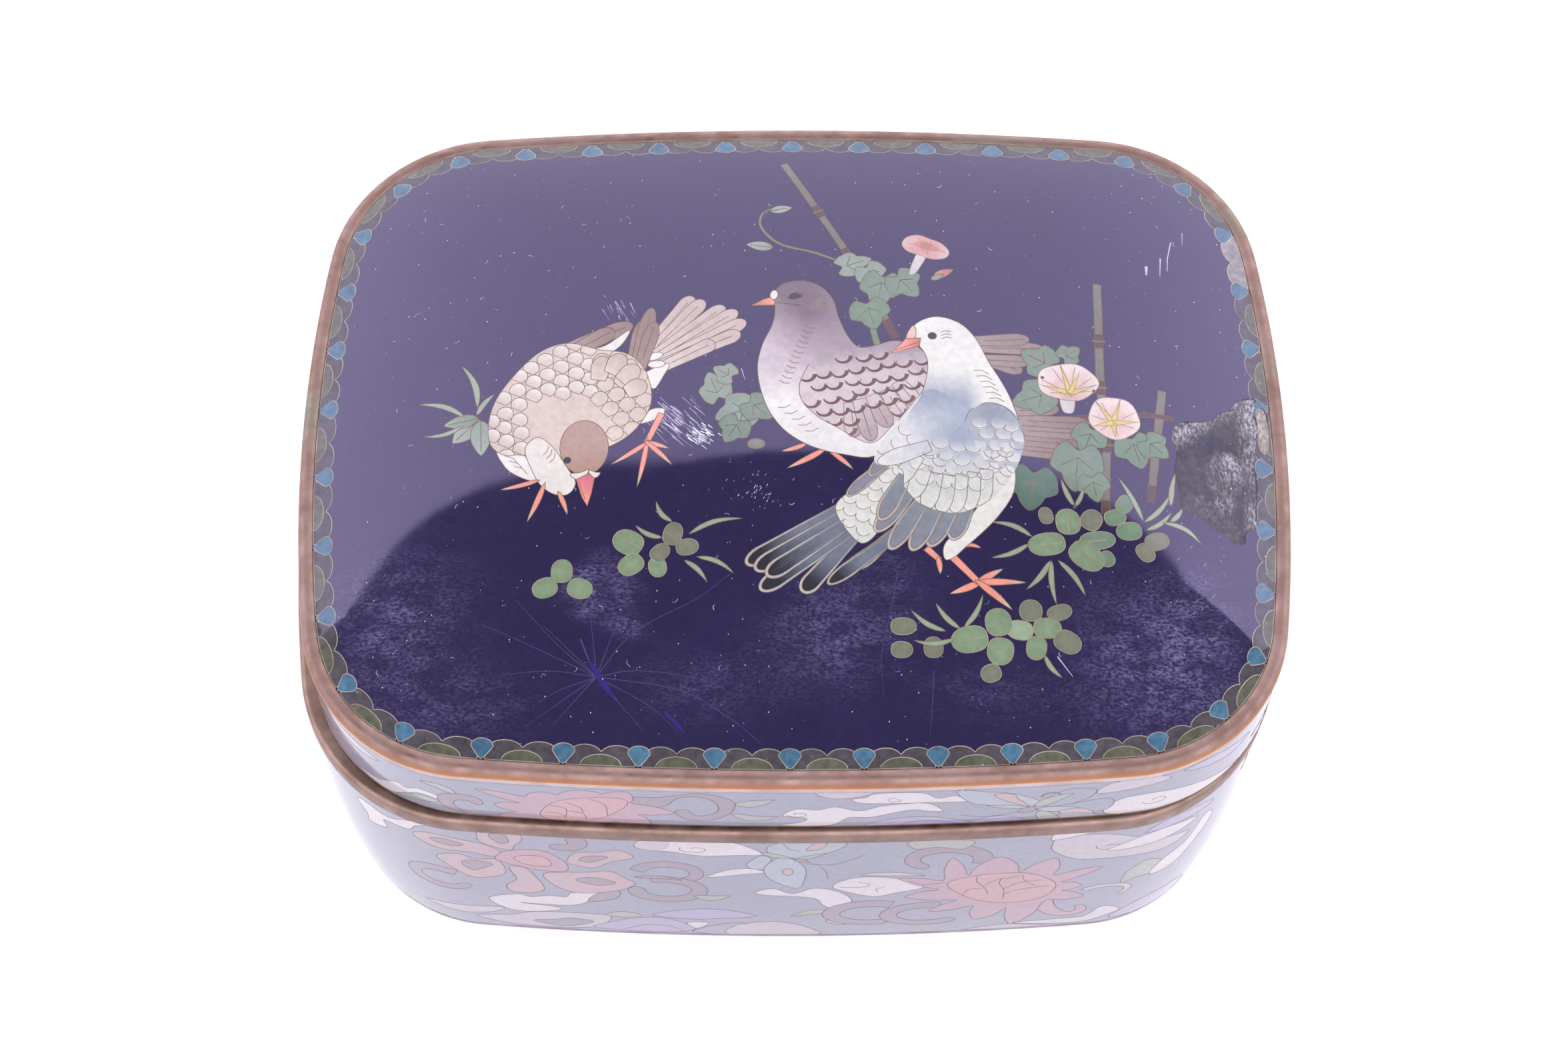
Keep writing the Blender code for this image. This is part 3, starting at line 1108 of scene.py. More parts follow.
def draw_right_plants():
    draw_ivy(40.2, 11.2, 3.1, 150, dull_green)
    draw_ivy(44.6, 12.6, 2.0, 40, dull_green)
    draw_ivy(39.3, 4.6, 3.6, 200, dull_green, 0.9)
    draw_ivy(47.4, -2.6, 2.9, 250, leaf_green)
    draw_ivy(45.2, -7.4, 4.4, 262, dull_green, 0.95)
    draw_ivy(47.6, -11.4, 2.6, 280, dull_green)
    draw_ivy(54.6, -4.2, 3.2, 285, leaf_green, 1.05)
    draw_ivy(57.6, -3.6, 2.6, 320, leaf_green)
    draw_ivy(37.8, -11.6, 4.0, 262, shaded(98, 128, 114), 1.0)
    draw_blade((44.4, -15.6), (42.4, -10.6), 0.8, 0.2)
    draw_blade((44.4, -15.6), (46, -12), 0.7, -0.2)
    lid_sheet.shape(((43, 4.6), (45.2, 4.7), (45, 2), (44, 1.6), (43.2, 2.2)), glaze(236, 228, 236),
                    "flowers")
    draw_open_flower(44.3, 7.5, 5.0, 3.5, 0, (44.6, 5.4), ((39.8, 6.8), (43.2, 10.9), (49, 7.2), (46.4, 9.6)))
    draw_open_flower(51.6, 1.1, 4.2, 3.9, -20, (51.4, 0.2),
                     ((48.6, 4.2), (52.8, 4.8), (55.6, 0.6), (51.6, -2.6), (48, -0.6)))
    for pit in ((40.2, 8.2), (48.5, 6)):
        lid_sheet.cell(oval(*pit, 0.28, 0.28, 0, 10), glaze(126, 112, 120), "flowers")


def draw_clovers():
    # Right clump
    for x, y, across, along, turn, colour in (
        (39.7, -17.4, 1.5, 1.2, 100, olive_green), (46.9, -17.9, 1.9, 1.8, 60, olive_green),
        (47.6, -21.5, 2.9, 1.7, 10, dull_green), (49.0, -24.6, 1.4, 1.4, -60, dull_green),
        (43.2, -18.4, 2.3, 2.1, 95, bright_green), (39.8, -22.4, 3.0, 2.1, 190, bright_green),
        (45.8, -24.2, 3.0, 2.4, -40, bright_green), (50.7, -17.2, 1.8, 1.5, 20, leaf_green),
        (52.4, -14.7, 1.7, 1.4, 60, leaf_green), (53.0, -19.5, 2.1, 1.7, 190, leaf_green),
        (57.2, -21.1, 2.0, 1.6, 20, olive_green), (55.3, -23.1, 1.7, 1.5, -60, olive_green),
    ):
        draw_clover_leaf(x, y, across, along, turn, colour)
    for root, tip, bend in (
        ((37.4, -21.2), (31, -18.7), -0.7), ((36.9, -22.4), (30.8, -25), 0.5),
        ((55.3, -17.6), (51.6, -9.8), -0.3), ((55.4, -17.8), (59.9, -12.5), -0.5),
        ((55.6, -19.2), (60, -15.6), -0.5), ((59.9, -14.6), (61, -8.4), 0.2),
        ((59.7, -17.4), (61.8, -14.8), -0.2), ((58.3, -17.6), (64.6, -21.2), 1.0),
        ((40.1, -25.3), (36.1, -30.4), 0.4), ((40.3, -25.3), (40.8, -32.9), -0.4),
        ((41.3, -25.2), (45.4, -31.2), 0.5),
    ):
        draw_blade(root, tip, 0.85, bend)
    # Lower clump
    for x, y, across, along, turn, colour in (
        (36.7, -34.0, 1.8, 1.9, 90, olive_green), (41.1, -34.2, 2.0, 1.4, 20, olive_green),
        (39.1, -36.8, 2.2, 1.8, 0, bright_green), (35.0, -37.2, 2.1, 1.7, 170, pale_green),
        (42.2, -39.0, 2.2, 1.9, -30, olive_green), (37.4, -40.0, 1.9, 1.7, -100, bright_green),
        (31.6, -36.0, 2.3, 2.2, 100, bright_green), (31.8, -40.5, 2.2, 2.2, -100, bright_green),
        (30.3, -44.1, 1.6, 1.5, 200, olive_green), (16.7, -36.6, 2.0, 1.5, 0, olive_green),
        (16.4, -40.4, 1.7, 1.4, 0, olive_green), (21.4, -40.1, 1.7, 1.6, 90, olive_green),
        (27.2, -38.7, 2.9, 2.3, 190, bright_green),
    ):
        draw_clover_leaf(x, y, across, along, turn, colour)
    for root, tip, bend in (
        ((38.6, -41.2), (41.3, -44.8), -0.4), ((23.4, -37.4), (18, -33.9), 0.6),
        ((24.8, -38.6), (18.3, -38.9), 0.7), ((25.6, -37), (21.9, -32.8), 0.4),
        ((26.2, -36.8), (29.3, -31.3), -0.5),
    ):
        draw_blade(root, tip, 0.8, bend)
    # Trefoil at the left
    for x, y, turn in ((-36.6, -27.3, 90), (-39.1, -30.0, 200), (-33.8, -30.2, -20)):
        draw_clover_leaf(x, y, 2.0, 1.8, turn, bright_green)
    # Clump left of the middle
    for x, y, across, along, turn, colour in (
        (-26.2, -22.4, 2.5, 2.2, 150, bright_green), (-25.7, -26.2, 2.1, 1.8, 215, bright_green),
        (-21.6, -26.6, 1.7, 1.5, -80, bright_green), (-19.3, -21.0, 2.0, 1.6, 75, olive_green),
        (-21.3, -24.2, 1.7, 1.4, 45, olive_green), (-17.1, -23.2, 1.8, 1.5, 10, olive_green),
    ):
        draw_clover_leaf(x, y, across, along, turn, colour)
    for root, tip, bend in (
        ((-19.4, -18.8), (-22, -15.2), 0.6), ((-20.9, -21.6), (-25.2, -19.4), 0.5),
        ((-16.8, -21), (-8.2, -18.2), 0.9), ((-15.5, -24.9), (-9.6, -27.8), 0.7),
        ((-17.4, -25.5), (-13.8, -29.2), 0.4),
    ):
        draw_blade(root, tip, 0.8, bend)


def draw_left_plants():
    draw_ivy(-12.7, 5.3, 2.9, 110, mint, 0.9)
    draw_ivy(-11.0, 8.4, 2.0, 150, mint)
    draw_ivy(-8.8, 1.4, 3.4, 200, mint)
    draw_ivy(-6.2, 2.2, 2.7, -40, dull_green)
    draw_ivy(-9.6, -1.6, 2.6, 240, dull_green)
    draw_clover_leaf(-6.2, -4.7, 1.4, 1.0, 0, olive_green, "leaves", False)
    draw_leaf((-50.8, 0.8), (-55, -3.4), 3.4, mint)
    draw_leaf((-50.6, 0.6), (-50.2, -6), 3.4, mint)
    draw_leaf((-51, 1), (-56.6, 0), 2.4, dull_green)
    draw_blade((-51.2, 3), (-54.2, 11.2), 1.0, -0.9)
    draw_blade((-51.3, 1.6), (-48.6, 5.4), 0.9, 0.3)
    draw_blade((-53.2, 1.4), (-61, 4.3), 0.9, -0.8)
    draw_blade((-53.4, -0.2), (-59.8, -1.8), 0.8, 0.7)


# Birds


def scales(region, head, tail, pitch, width, length, group, within, tip_colour, base_of, arc, bluntness,
           keep=None, jitter=0.0, arc_width=(0.16, 0.4)):
    """Rows of small feathers over a region, from the tail to the head. An arc is a dark edge's colour."""
    span, place = frame_at(head, tail)
    rows = int(span / pitch) + 1
    chance = random.Random(len(lid_sheet.cells))
    for row in range(rows, -1, -1):
        for column in range(-14, 15):
            along = row * pitch + chance.uniform(-jitter, jitter)
            aside = (column + 0.5 * (row % 2)) * width + chance.uniform(-jitter, jitter)
            root, tip = place(along, aside), place(along + length, aside)
            middle = (root + tip) / 2
            if not inside(middle, region) or (keep and not keep(middle.x, middle.y)):
                continue
            base = base_of(middle.x, middle.y)
            outline = tongue(root, tip, width * 1.02, bluntness)
            if arc:
                crescent = tongue_tip(root, tip, width * 0.96, bluntness)
                lid_sheet.cell(outline, fade(base, mix(base, tip_colour, 0.9), root, tip, 1.6), group, "tint",
                               within)
                lid_sheet.cell(strip(crescent, *arc_width)[::-1], arc, group, "tint", within)
                lid_sheet.line(tongue_tip(root, tip, width, bluntness), group, within)
            else:
                lid_sheet.cell(outline, fade(base, tip_colour, root, tip, 1.6), group, "wired", within)


def feather_fan(roots, tips, width, paint_of, group, bluntness, within=None, rib=True, edge=None):
    """Long feathers side by side, each from root to tip. An edge is the colour of a rim with its own wire."""
    edge_width = 0.16
    for number, (root, tip) in enumerate(zip(roots, tips)):
        root, tip = Vector(root), Vector(tip)
        outline = tongue(root, tip, width, bluntness)
        paint = paint_of(root, tip, number)
        cell = lid_sheet.cell(outline, paint, group, "wired", within)
        way = (tip - root).normalized()
        if edge:
            inner = (root, tip - way * width * edge_width, width * 0.76, bluntness)
            lid_sheet.cell(outline, fade(paint(*root), edge, root, tip, 0.6), group, "tint", cell)
            lid_sheet.cell(tongue(*inner), paint, group, "tint", cell)
            lid_sheet.line(tongue_tip(*inner), group, cell)
        if rib:
            lid_sheet.line([root.lerp(tip, 0.25), root.lerp(tip, 0.9)], group, cell)


def draw_bird_foot(ankle, toes, leg, leg_width, toe_width):
    """A foot of orange toes with white claws, and its leg if that shows."""
    root = Vector(ankle)
    if leg:
        lid_sheet.cell(strip([leg, ankle], leg_width * 1.2, leg_width * 0.95), orange, "birds_feet")
    for toe in toes:
        toe = Vector(toe)
        paint = fade(orange, claw_white, root.lerp(toe, 0.55), root.lerp(toe, 0.85))
        lid_sheet.cell(blade(root - (toe - root) * 0.12, toe, toe_width * 0.66, 0.12), paint, "birds_feet")
    lid_sheet.cell(oval(*ankle, leg_width * 0.55, leg_width * 0.5, 0, 12), orange, "birds_feet", "tint")


def draw_toe(root, tip, width):
    """A single toe, where the rest of the foot is hidden."""
    draw_bird_foot(root, (tip,), None, 0.6, width)


def draw_short_lines(start, end, count, way, length, group, within):
    """Short curved strokes on a breast or a cheek."""
    for number in range(count):
        spot = Vector(start).lerp(Vector(end), number / max(count - 1, 1))
        push = Vector(way).normalized() * length
        side = Vector((-push.y, push.x)) * 0.16
        lid_sheet.line([spot, spot + push * 0.5 + side, spot + push], group, within)


orange = shaded(255, 168, 150)
claw_white = glaze(240, 220, 212)
ink = (0.008, 0.008, 0.011)


def draw_left_dove():
    """The cream dove with its head down and its tail up to the right."""
    group = "left_dove"
    cream = glaze(243, 228, 225)
    shade = glaze(232, 214, 213)
    white = glaze(255, 252, 255)
    beige = glaze(222, 204, 202)
    taupe = glaze(178, 157, 160)
    tail_tone = glaze(228, 210, 212)
    root = (-24.3, 10.2)
    tail_tips = (
        (-16.6, 23.4), (-14.8, 22.7), (-11.4, 21.5), (-9.3, 20.6), (-7.9, 18.6), (-8.8, 16.3), (-13, 14.4),
    )
    roots = [(root[0] + 0.5 * n - 1.0, root[1] - 0.32 * n + 1.0) for n in range(len(tail_tips))]
    feather_fan(roots, tail_tips, 2.6,
                lambda a, b, n: fade(mix(tail_tone, white, 0.3), tail_tone, a, b), group, 0.12)
    lid_sheet.shape(((-24.4, 8.4), (-20.4, 10.4), (-21.3, 7.9), (-22.8, 5.6)), white, group)
    for x, y, turn in ((-22.7, 11.8, 20), (-22.4, 10.3, 5)):
        lid_sheet.cell(oval(x, y, 1.4, 0.7, turn, 14), white, group)
    lid_sheet.shape(((-25.2, -0.8), (-23.2, 1.7), (-21, 1.9), (-21.3, 0.6), (-23.3, -0.5)), white, group)
    body_outline = smooth_loop((
        (-49.3, -1.6), (-48.9, 2.4), (-47.2, 6.3), (-43.5, 11.2), (-40.2, 13.8), (-36.4, 14.6), (-31.6, 13.2),
        (-27.2, 12.4), (-24.3, 9.4), (-23.1, 5), (-23.6, 1.4), (-26, -2.4), (-29.6, -5), (-34.2, -6.6),
        (-39.4, -7.9), (-43.6, -6.2), (-46.4, -6.1), (-48.6, -4.4),
    ))

    lid_sheet.shape(((-47.6, -4.9), (-46.6, -7.8), (-44.7, -9.7), (-41.4, -11.1), (-38.9, -10.1),
                     (-38.4, -5.8), (-43, -4.6)), white, group)
    draw_short_lines((-46.4, -6.2), (-44.8, -8.2), 3, (1, -0.7), 2.6, group, len(lid_sheet.cells) - 1)
    feather_fan(((-37.6, 13.2), (-36.8, 12.6)), ((-26.4, 18), (-29.4, 16.9)), 3.0,
                lambda a, b, n: fade(mix(taupe, beige, 0.4), taupe, a, b), group, 0.25)
    lid_sheet.shape((
        (-37.2, 8.6), (-34.8, 12.7), (-30.8, 14), (-26.9, 16.9), (-28.3, 13.9), (-31.7, 11.4), (-34.7, 10.4),
    ), white, group)
    feather_fan(((-26.4, 9.6), (-25.8, 9.4), (-25.2, 9.2)), ((-24.6, 18.8), (-23.3, 21.2), (-22.7, 18.4)),
                2.6, lambda a, b, n: fade(mix(taupe, beige, 0.2), taupe, a, b), group, 0.35)

    def mantle(x, y):
        return mix(mix(shade, cream, (x + 49) / 20), beige, max((x + 32) / 14 - 0.1, 0.0) * 0.7)

    cell = lid_sheet.cell(body_outline, mantle, group)
    scales(body_outline, (-44, -11), (-30.5, 16), 2.3, 2.7, 2.3, group, cell, white, mantle, None, 0.62,
           lambda x, y: x < -31.5 and (y > 4.2 + 0.12 * (x + 38) or x < -43.4) and not (x > -40 and y < 5),
           0.22)
    scales(body_outline, (-37, -3), (-23, 10), 2.5, 2.6, 2.7, group, cell, mix(cream, beige, 0.45), mantle,
           None, 0.55, lambda x, y: x > -31.8 and x + y * 0.25 > -30.6)
    feather_fan(((-31.8, 7.4), (-29.8, 8.6), (-28.2, 7.2), (-27.2, 5)),
                ((-31, 12), (-27.9, 12.3), (-25.3, 10), (-24, 6.8)), 3.3,
                lambda a, b, n: fade(cream, beige, a, b, 0.8), group, 0.5, cell, rib=False)
    lid_sheet.shape((
        (-43.2, -5.2), (-41.3, -3), (-38.8, -4.8), (-36.4, -8.6), (-34.9, -11.4), (-35.9, -13.5),
        (-38, -13.6), (-40.2, -12.1), (-41.7, -9.6),
    ), fade(white, mix(cream, white, 0.5), (-37, -13), (-42, -3)), group)
    draw_short_lines((-39.4, -4.6), (-38.3, -6), 3, (-0.6, -1.2), 1.9, group, None)
    head = lid_sheet.cell(oval(-33.7, -5.1, 3.9, 5.0, 4, 30),
                          glow(glaze(212, 184, 182), glaze(205, 175, 174), (-33.2, -3.2), 6.0), group)
    lid_sheet.cell(oval(-36.35, -7.4, 0.62, 0.58, 0, 14), ink, group, "wired", head)
    lid_sheet.shape(((-35.8, -9.9), (-34.2, -9.7), (-32.9, -9.2), (-33.4, -10.4), (-34.9, -10.9)), white,
                    group)
    lid_sheet.shape(((-32.8, -9.3), (-31.7, -9.7), (-31, -9.8), (-31.5, -10.6), (-32.5, -10.6)), white, group)
    lid_sheet.cell([
        (-34.8, -10.9), (-33.4, -10.2), (-32.7, -9.9), (-31.9, -10.8), (-32.3, -13.4), (-32.9, -15.8),
        (-33.8, -14.2),
    ], fade(shaded(228, 130, 146), orange, (-32.6, -11), (-34.2, -14)), group)
    lid_sheet.line([(-34.4, -11.4), (-33.3, -14.6)], group)
    draw_bird_foot((-23.7, -4.4), ((-29.4, -8.4), (-25.1, -12.6), (-20.1, -5.5), (-19.5, -8.6)),
                   (-21.4, 1), 0.9, 1.25)
    draw_toe((-41.2, -11), (-46.9, -12.4), 1.2)
    draw_toe((-40, -12), (-42.4, -18.4), 1.4)
    draw_toe((-37.5, -13.4), (-36, -17.3), 1.2)


def draw_middle_tail():
    """The middle dove's tail and far wing, seen to the right of the front dove."""
    mauve = glaze(176, 160, 168)
    light = glaze(196, 181, 188)
    stain = glaze(150, 114, 122)
    feather_fan(((28, 12.4), (28, 11.4), (28.2, 13.6), (28.4, 14.8)),
                ((37, 9.2), (38.2, 11), (40.8, 13.6), (38.4, 15.4)), 2.4,
                lambda a, b, n: fade(light, mauve, a, b), "middle_dove", 0.25)
    feather_fan(((34, -5.4), (34, -3.6), (34, -1.8), (34, 0), (34, 1.6)),
                ((42.4, -5.9), (45.6, -4.2), (47.6, -2.2), (47.6, -0.2), (42.6, 2.4)), 2.4,
                lambda a, b, n: fade(light, mix(mauve, stain, 0.4 if n in (1, 3) else 0.15), a, b),
                "middle_dove", 0.22)


def draw_middle_dove():
    """The grey dove standing to the left, its front to us."""
    group = "middle_dove"
    taupe = glaze(158, 142, 160)
    lilac = glaze(228, 215, 229)
    white = glaze(255, 252, 255)
    wing_tone = glaze(232, 220, 229)
    brown = glaze(142, 112, 126)
    mauve = glaze(196, 178, 187)
    draw_toe((1.4, -4.9), (-2.2, -6.1), 1.2)
    draw_toe((4.4, -5.9), (-1.3, -9.2), 1.5)
    draw_toe((6, -6.4), (9.3, -9.4), 1.2)
    outline = smooth_loop((
        (1.2, 26.7), (-1.9, 26), (-3.4, 23.8), (-3.1, 20.9), (-3.7, 17.6), (-5.2, 14), (-6, 10), (-5.5, 5.6),
        (-4, 1.2), (-1.2, -2.6), (3, -5.3), (7.6, -6.6), (12.6, -7), (17, -3), (21, 3), (22.2, 9),
        (20.6, 13.2), (16.6, 14.8), (13, 13.8), (10.4, 13.6), (8.6, 15.9), (7.3, 19.3), (6.3, 23),
        (4.2, 25.6),
    ))

    def plumage(x, y):
        down = (20.0 - y) / 12.0
        tone_here = mix(taupe, lilac, down + max(0.0, (2.0 - x) / 14.0))
        tone_here = mix(tone_here, white, (10.5 - y - 0.32 * max(x, 0.0)) / 7.0)
        back = min(max((x - 3.0) / 6.0, 0.0), 1.0) * min(max((y - 4.0) / 6.0, 0.0), 1.0)
        return mix(tone_here, mix(taupe, lilac, 0.35), back * 0.8)

    cell = lid_sheet.cell(outline, plumage, group)
    draw_short_lines((3.4, 17.2), (-0.8, 6.6), 12, (-1, 0.35), 1.7, group, cell)
    draw_short_lines((-0.6, 2.6), (3.8, -1.8), 5, (-1, -0.25), 2.2, group, cell)
    lid_sheet.shape(((3.2, 22.9), (5.2, 23.2), (4.6, 20.8), (2.4, 20.6)),
                    glow(glaze(170, 157, 160), taupe, (4, 22), 2.4), group, "tint", cell)
    wing = smooth_loop((
        (2, 9.2), (0.7, 5.6), (1.3, 3.1), (3.8, 0.3), (7, -1.8), (10, -3.7), (12.8, -4.3), (16, -0.8),
        (20.4, 3.6), (22.4, 9), (20.6, 13), (16, 14.2), (11, 13.4), (6.6, 12.6), (3.6, 11.6),
    ))

    def wing_paint(x, y):
        return mix(mix(taupe, lilac, 0.4), wing_tone, (13.0 - y) / 6.0)

    inner = lid_sheet.cell(wing, wing_paint, group, "tint", cell)
    lid_sheet.line(smooth_path((
        (2.3, 10.2), (0.8, 6.4), (1.3, 3.1), (3.8, 0.3), (7, -1.8), (10, -3.8), (12.8, -4.4), (16, -0.9),
    )), group, cell)
    feather_fan(((9, 3), (10.4, 3.6), (12.4, 4.4), (14.6, 5.4), (16.6, 7)),
                ((9.6, -3.5), (12.4, -4.2), (15.2, -1.6), (17.6, 0.4), (19.6, 2.8)), 3.0,
                lambda a, b, n: fade(wing_tone, mauve, a, b, 0.6), group, 0.35, cell, rib=True)
    scales(wing, (8, 13), (11.4, -4.5), 2.3, 2.7, 2.5, group, inner, glaze(226, 214, 221), wing_paint, brown,
           0.5,
           lambda x, y: y > (1.4 if x > 9.0 else -2.8) and x > 1.6 and not (x < 6.0 and y > 9.0) and y < 12.8,
           0.4, (0.25, 0.7))
    lid_sheet.cell(oval(-3.3, 23.8, 0.65, 0.95, -10, 14), white, group)
    lid_sheet.cell([(-7.2, 21.6), (-5, 22.9), (-3.9, 23.3), (-3.1, 22.4), (-3.3, 21.8), (-5, 21.7)],
                   fade(orange, glaze(196, 150, 110), (-3.4, 22.6), (-7, 21.4)), group)
    lid_sheet.line([(-3.3, 22.2), (-1.4, 22.1), (1, 21.7)], group, cell)
    lid_sheet.cell(blade((-1, 23.2), (1.5, 23.6), 1.1, 0.15), ink, group, "wired", cell)
    lid_sheet.line([(-0.8, 23.9), (0.4, 24.3), (1.8, 24.1)], group, cell)


def draw_front_dove():
    """The white-headed blue-grey dove, its back to us and its tail to the lower left."""
    group = "front_dove"
    white = glaze(255, 254, 255)
    blue = glaze(184, 193, 216)
    pale = glaze(242, 242, 248)
    deep = glaze(170, 177, 196)
    slate = shaded(148, 148, 163)
    tail_blue = shaded(126, 133, 149)
    black = shaded(62, 62, 70)
    rim_white = glaze(222, 216, 220)
    draw_bird_foot((22.4, -25.2), ((22.7, -27.9),), (20.6, -23.4), 0.9, 1.3)
    draw_bird_foot((27.2, -22.8), ((29.2, -23.3),), (25.6, -22.6), 0.8, 0.9)
    draw_bird_foot((28.7, -29.3), ((24.1, -31.2), (32.6, -26.9), (36.2, -29.2), (33.9, -33.9)),
                   (24.6, -24.8), 1.0, 1.7)

    def barred(a, b, n):
        return fade(tail_blue, black, a.lerp(b, 0.45), a.lerp(b, 0.8))

    feather_fan(((15.8, -20.6), (15, -21.6), (14.4, -22.4)), ((9.4, -27), (6.4, -28.6), (5, -29.6)), 2.5,
                barred, group, 0.35, rib=False, edge=rim_white)
    roots = ((7.6, -16.4), (8, -17.6), (9.6, -20.8), (9.2, -20), (8.6, -18.8))
    tips = ((-7.8, -26.2), (-6.4, -27.2), (1, -31), (-5.6, -30.6), (-4.6, -28.2))
    feather_fan(roots, tips, 3.1, barred, group, 0.16, rib=False, edge=rim_white)
    lid_sheet.shape(((34.9, -9), (34.7, -13.3), (32.3, -17.4), (29.7, -20.4), (26.8, -23.2), (24.9, -25),
                     (23.5, -25.3), (23.4, -23), (25.2, -20.6), (28.4, -16.8), (32, -11.6)), white, group)
    rump = smooth_loop((
        (19, -4.4), (14.6, -7.8), (9.9, -12.3), (6.8, -15.2), (6.6, -17.4), (8.2, -20.4), (10.5, -22.6),
        (12.8, -20.9), (14.4, -17), (17, -12.6), (19.6, -8),
    ))
    rump_cell = lid_sheet.cell(rump, pale, group)
    scales(rump, (17.2, -6.4), (8, -22.6), 2.0, 2.3, 2.1, group, rump_cell, white, plain(pale), white, 0.55,
           None, 0.25)
    feather_fan(((15.8, -7), (17.4, -3.6)), ((8.2, -14.2), (11.8, -10.6)), 2.2,
                lambda a, b, n: fade(slate, slate, a, b), group, 0.35, rib=False, edge=rim_white)

    neck = smooth_loop((
        (23.4, 19.5), (20.4, 18.5), (18.6, 16.2), (19, 14.6), (20.6, 13.4), (21.6, 11), (21.4, 8),
        (20.4, 4.4), (18, -1), (24, -4), (32, -2), (36.2, -2.4), (35.2, 3), (33.6, 7), (31.6, 10.8),
        (29.6, 15.3), (27, 18.3),
    ))

    def head_paint(x, y):
        share = min(max((9.6 - y) / 6.0, 0.0), 1.0)
        side = min(max((x - 27.6) / 3.0, 0.0), 1.0)
        return mix(white, blue, share * (1.0 - side))

    head = lid_sheet.cell(neck, head_paint, group)
    draw_short_lines((29, 9.2), (31.4, 4), 6, (1, -0.25), 2.6, group, head)
    draw_short_lines((23.8, 16.4), (24, 15.2), 3, (1, 0.1), 1.7, group, head)
    primaries_roots = ((17.6, -10.6), (19, -12.2), (20.8, -14.2), (23, -15), (25.4, -15.2), (27.6, -15))
    primaries_tips = ((13.3, -18.6), (12.6, -20.6), (14.8, -23.7), (18.2, -23.9), (21, -23.2), (24.6, -22))
    feather_fan(primaries_roots[::-1], primaries_tips[::-1], 3.2, lambda a, b, n: fade(deep, slate, a, b),
                group, 0.42, rib=False, edge=rim_white)
    wing_edge = ((20.6, 5), (16.6, -0.4), (13.2, -5.8), (13, -8.4), (17, -9.4), (17.4, -12.6), (20.2, -15.8),
                 (25, -17.2), (29.2, -15.9), (33, -12.6), (35.6, -8.2), (36.8, -3.6), (35.9, 0.6))
    mantle = smooth_loop((*wing_edge, (33.6, 2.7), (30.8, 3.2), (28.4, 2), (26, 3.4), (23.4, 5.2)))

    def back_paint(x, y):
        far = math.hypot((x - 27.0) / 8.0, (y + 3.0) / 7.5)
        return mix(blue, pale, far - 0.25)

    back = lid_sheet.cell(mantle, back_paint, group, "bare")
    lid_sheet.line(smooth_path(wing_edge), group, back)
    lid_sheet.cell(neck, lambda x, y: mix(blue, back_paint(x, y), (3.5 - y) / 5.0), group, "tint", back)
    scales(mantle, (24, 3), (13, -9), 2.3, 2.5, 2.4, group, back, pale, back_paint, white, 0.5,
           lambda x, y: x + y * 0.9 < 17.0 and x < 25.0, 0.35)
    roots = ((21.6, -5), (19.8, -6.8), (21, -8.6), (22.6, -10), (24.6, -10.4), (26.6, -10.2), (28.6, -9.8),
             (30.6, -9.2))
    tips = ((13.2, -8.2), (15.9, -12.2), (18.4, -14.6), (20.6, -16.8), (23, -17.3), (25.2, -17.2),
            (27.4, -16.8), (29.4, -16))
    feather_fan(roots[::-1], tips[::-1], 2.9, lambda a, b, n: fade(mix(pale, blue, 0.4), white, a, b, 1.2),
                group, 0.45, within=back, rib=False)
    scales(mantle, (27, 1), (24.6, -13), 2.3, 2.7, 2.4, group, back, pale, back_paint, white, 0.5,
           lambda x, y: y < -4.0 and x > 19.4 and y > -12.4, 0.35)
    shoulder = smooth_loop((
        (28, 1.6), (30.8, 3.2), (33.8, 2.6), (36, 0), (36.8, -3.8), (35.8, -8), (33.2, -11.2), (30.6, -8),
        (28.4, -3.2),
    ))
    lump = lid_sheet.cell(shoulder, glow(deep, mix(blue, pale, 0.3), (31.6, 1.6), 9.0, 0.8), group, "tint",
                          back)
    lid_sheet.line(smooth_path(((27.4, -0.4), (28.2, 1.6), (30.8, 3.1), (33.8, 2.5), (36, 0))), group, back)
    scales(shoulder, (33, 4), (31, -12), 2.0, 2.4, 1.9, group, lump, pale,
           glow(deep, pale, (31.6, 1.6), 11.0), white, 0.5, lambda x, y: y < 0.4 and x > 29.2, 0.35)
    lid_sheet.cell([(15.8, 12.4), (17.4, 14.2), (18.2, 15.3), (20.6, 15.3), (20.4, 13.8)],
                   fade(orange, glaze(228, 150, 140), (17.4, 14.4), (20.4, 14.2)), group)
    lid_sheet.line([(16.4, 12.9), (20.4, 14.6)], group)
    lid_sheet.shape(((18.2, 15.4), (19.2, 17.6), (19.8, 17.2), (19.7, 15.4)), glaze(240, 214, 210), group)
    lid_sheet.cell(oval(22.5, 15.75, 0.72, 0.66, 0, 16), ink, group, "wired", head)


# Damage and repairs


def patch_paint(x, y):
    """Grey putty, and how thickly pale fibres show in it: along two of its edges and in two blotches."""
    edge = max(min((y - 1.6 - 0.75 * (x - 66.0)) / 3.0 + 1.0, 1.0), min((x - 71.6) / 1.6, 1.0), 0.0)
    if y < -12.0 and x < 71.0:
        edge = max(edge, 0.25)
    upper = 1.3 - math.hypot((x - 69.3) / 2.6, (y + 8.0) / 3.6)
    blotch = max(upper, 1.2 - math.hypot((x - 68.9) / 1.7, (y + 13.2) / 2.0))
    putty = mix(shaded(88, 84, 102), shaded(74, 68, 112), 0.8 - math.hypot(x - 66.6, y + 2.0) / 3.0)
    return (*putty, min(max(edge * 0.9, min(blotch * 3.0, 1.0), 0.03), 1.0))


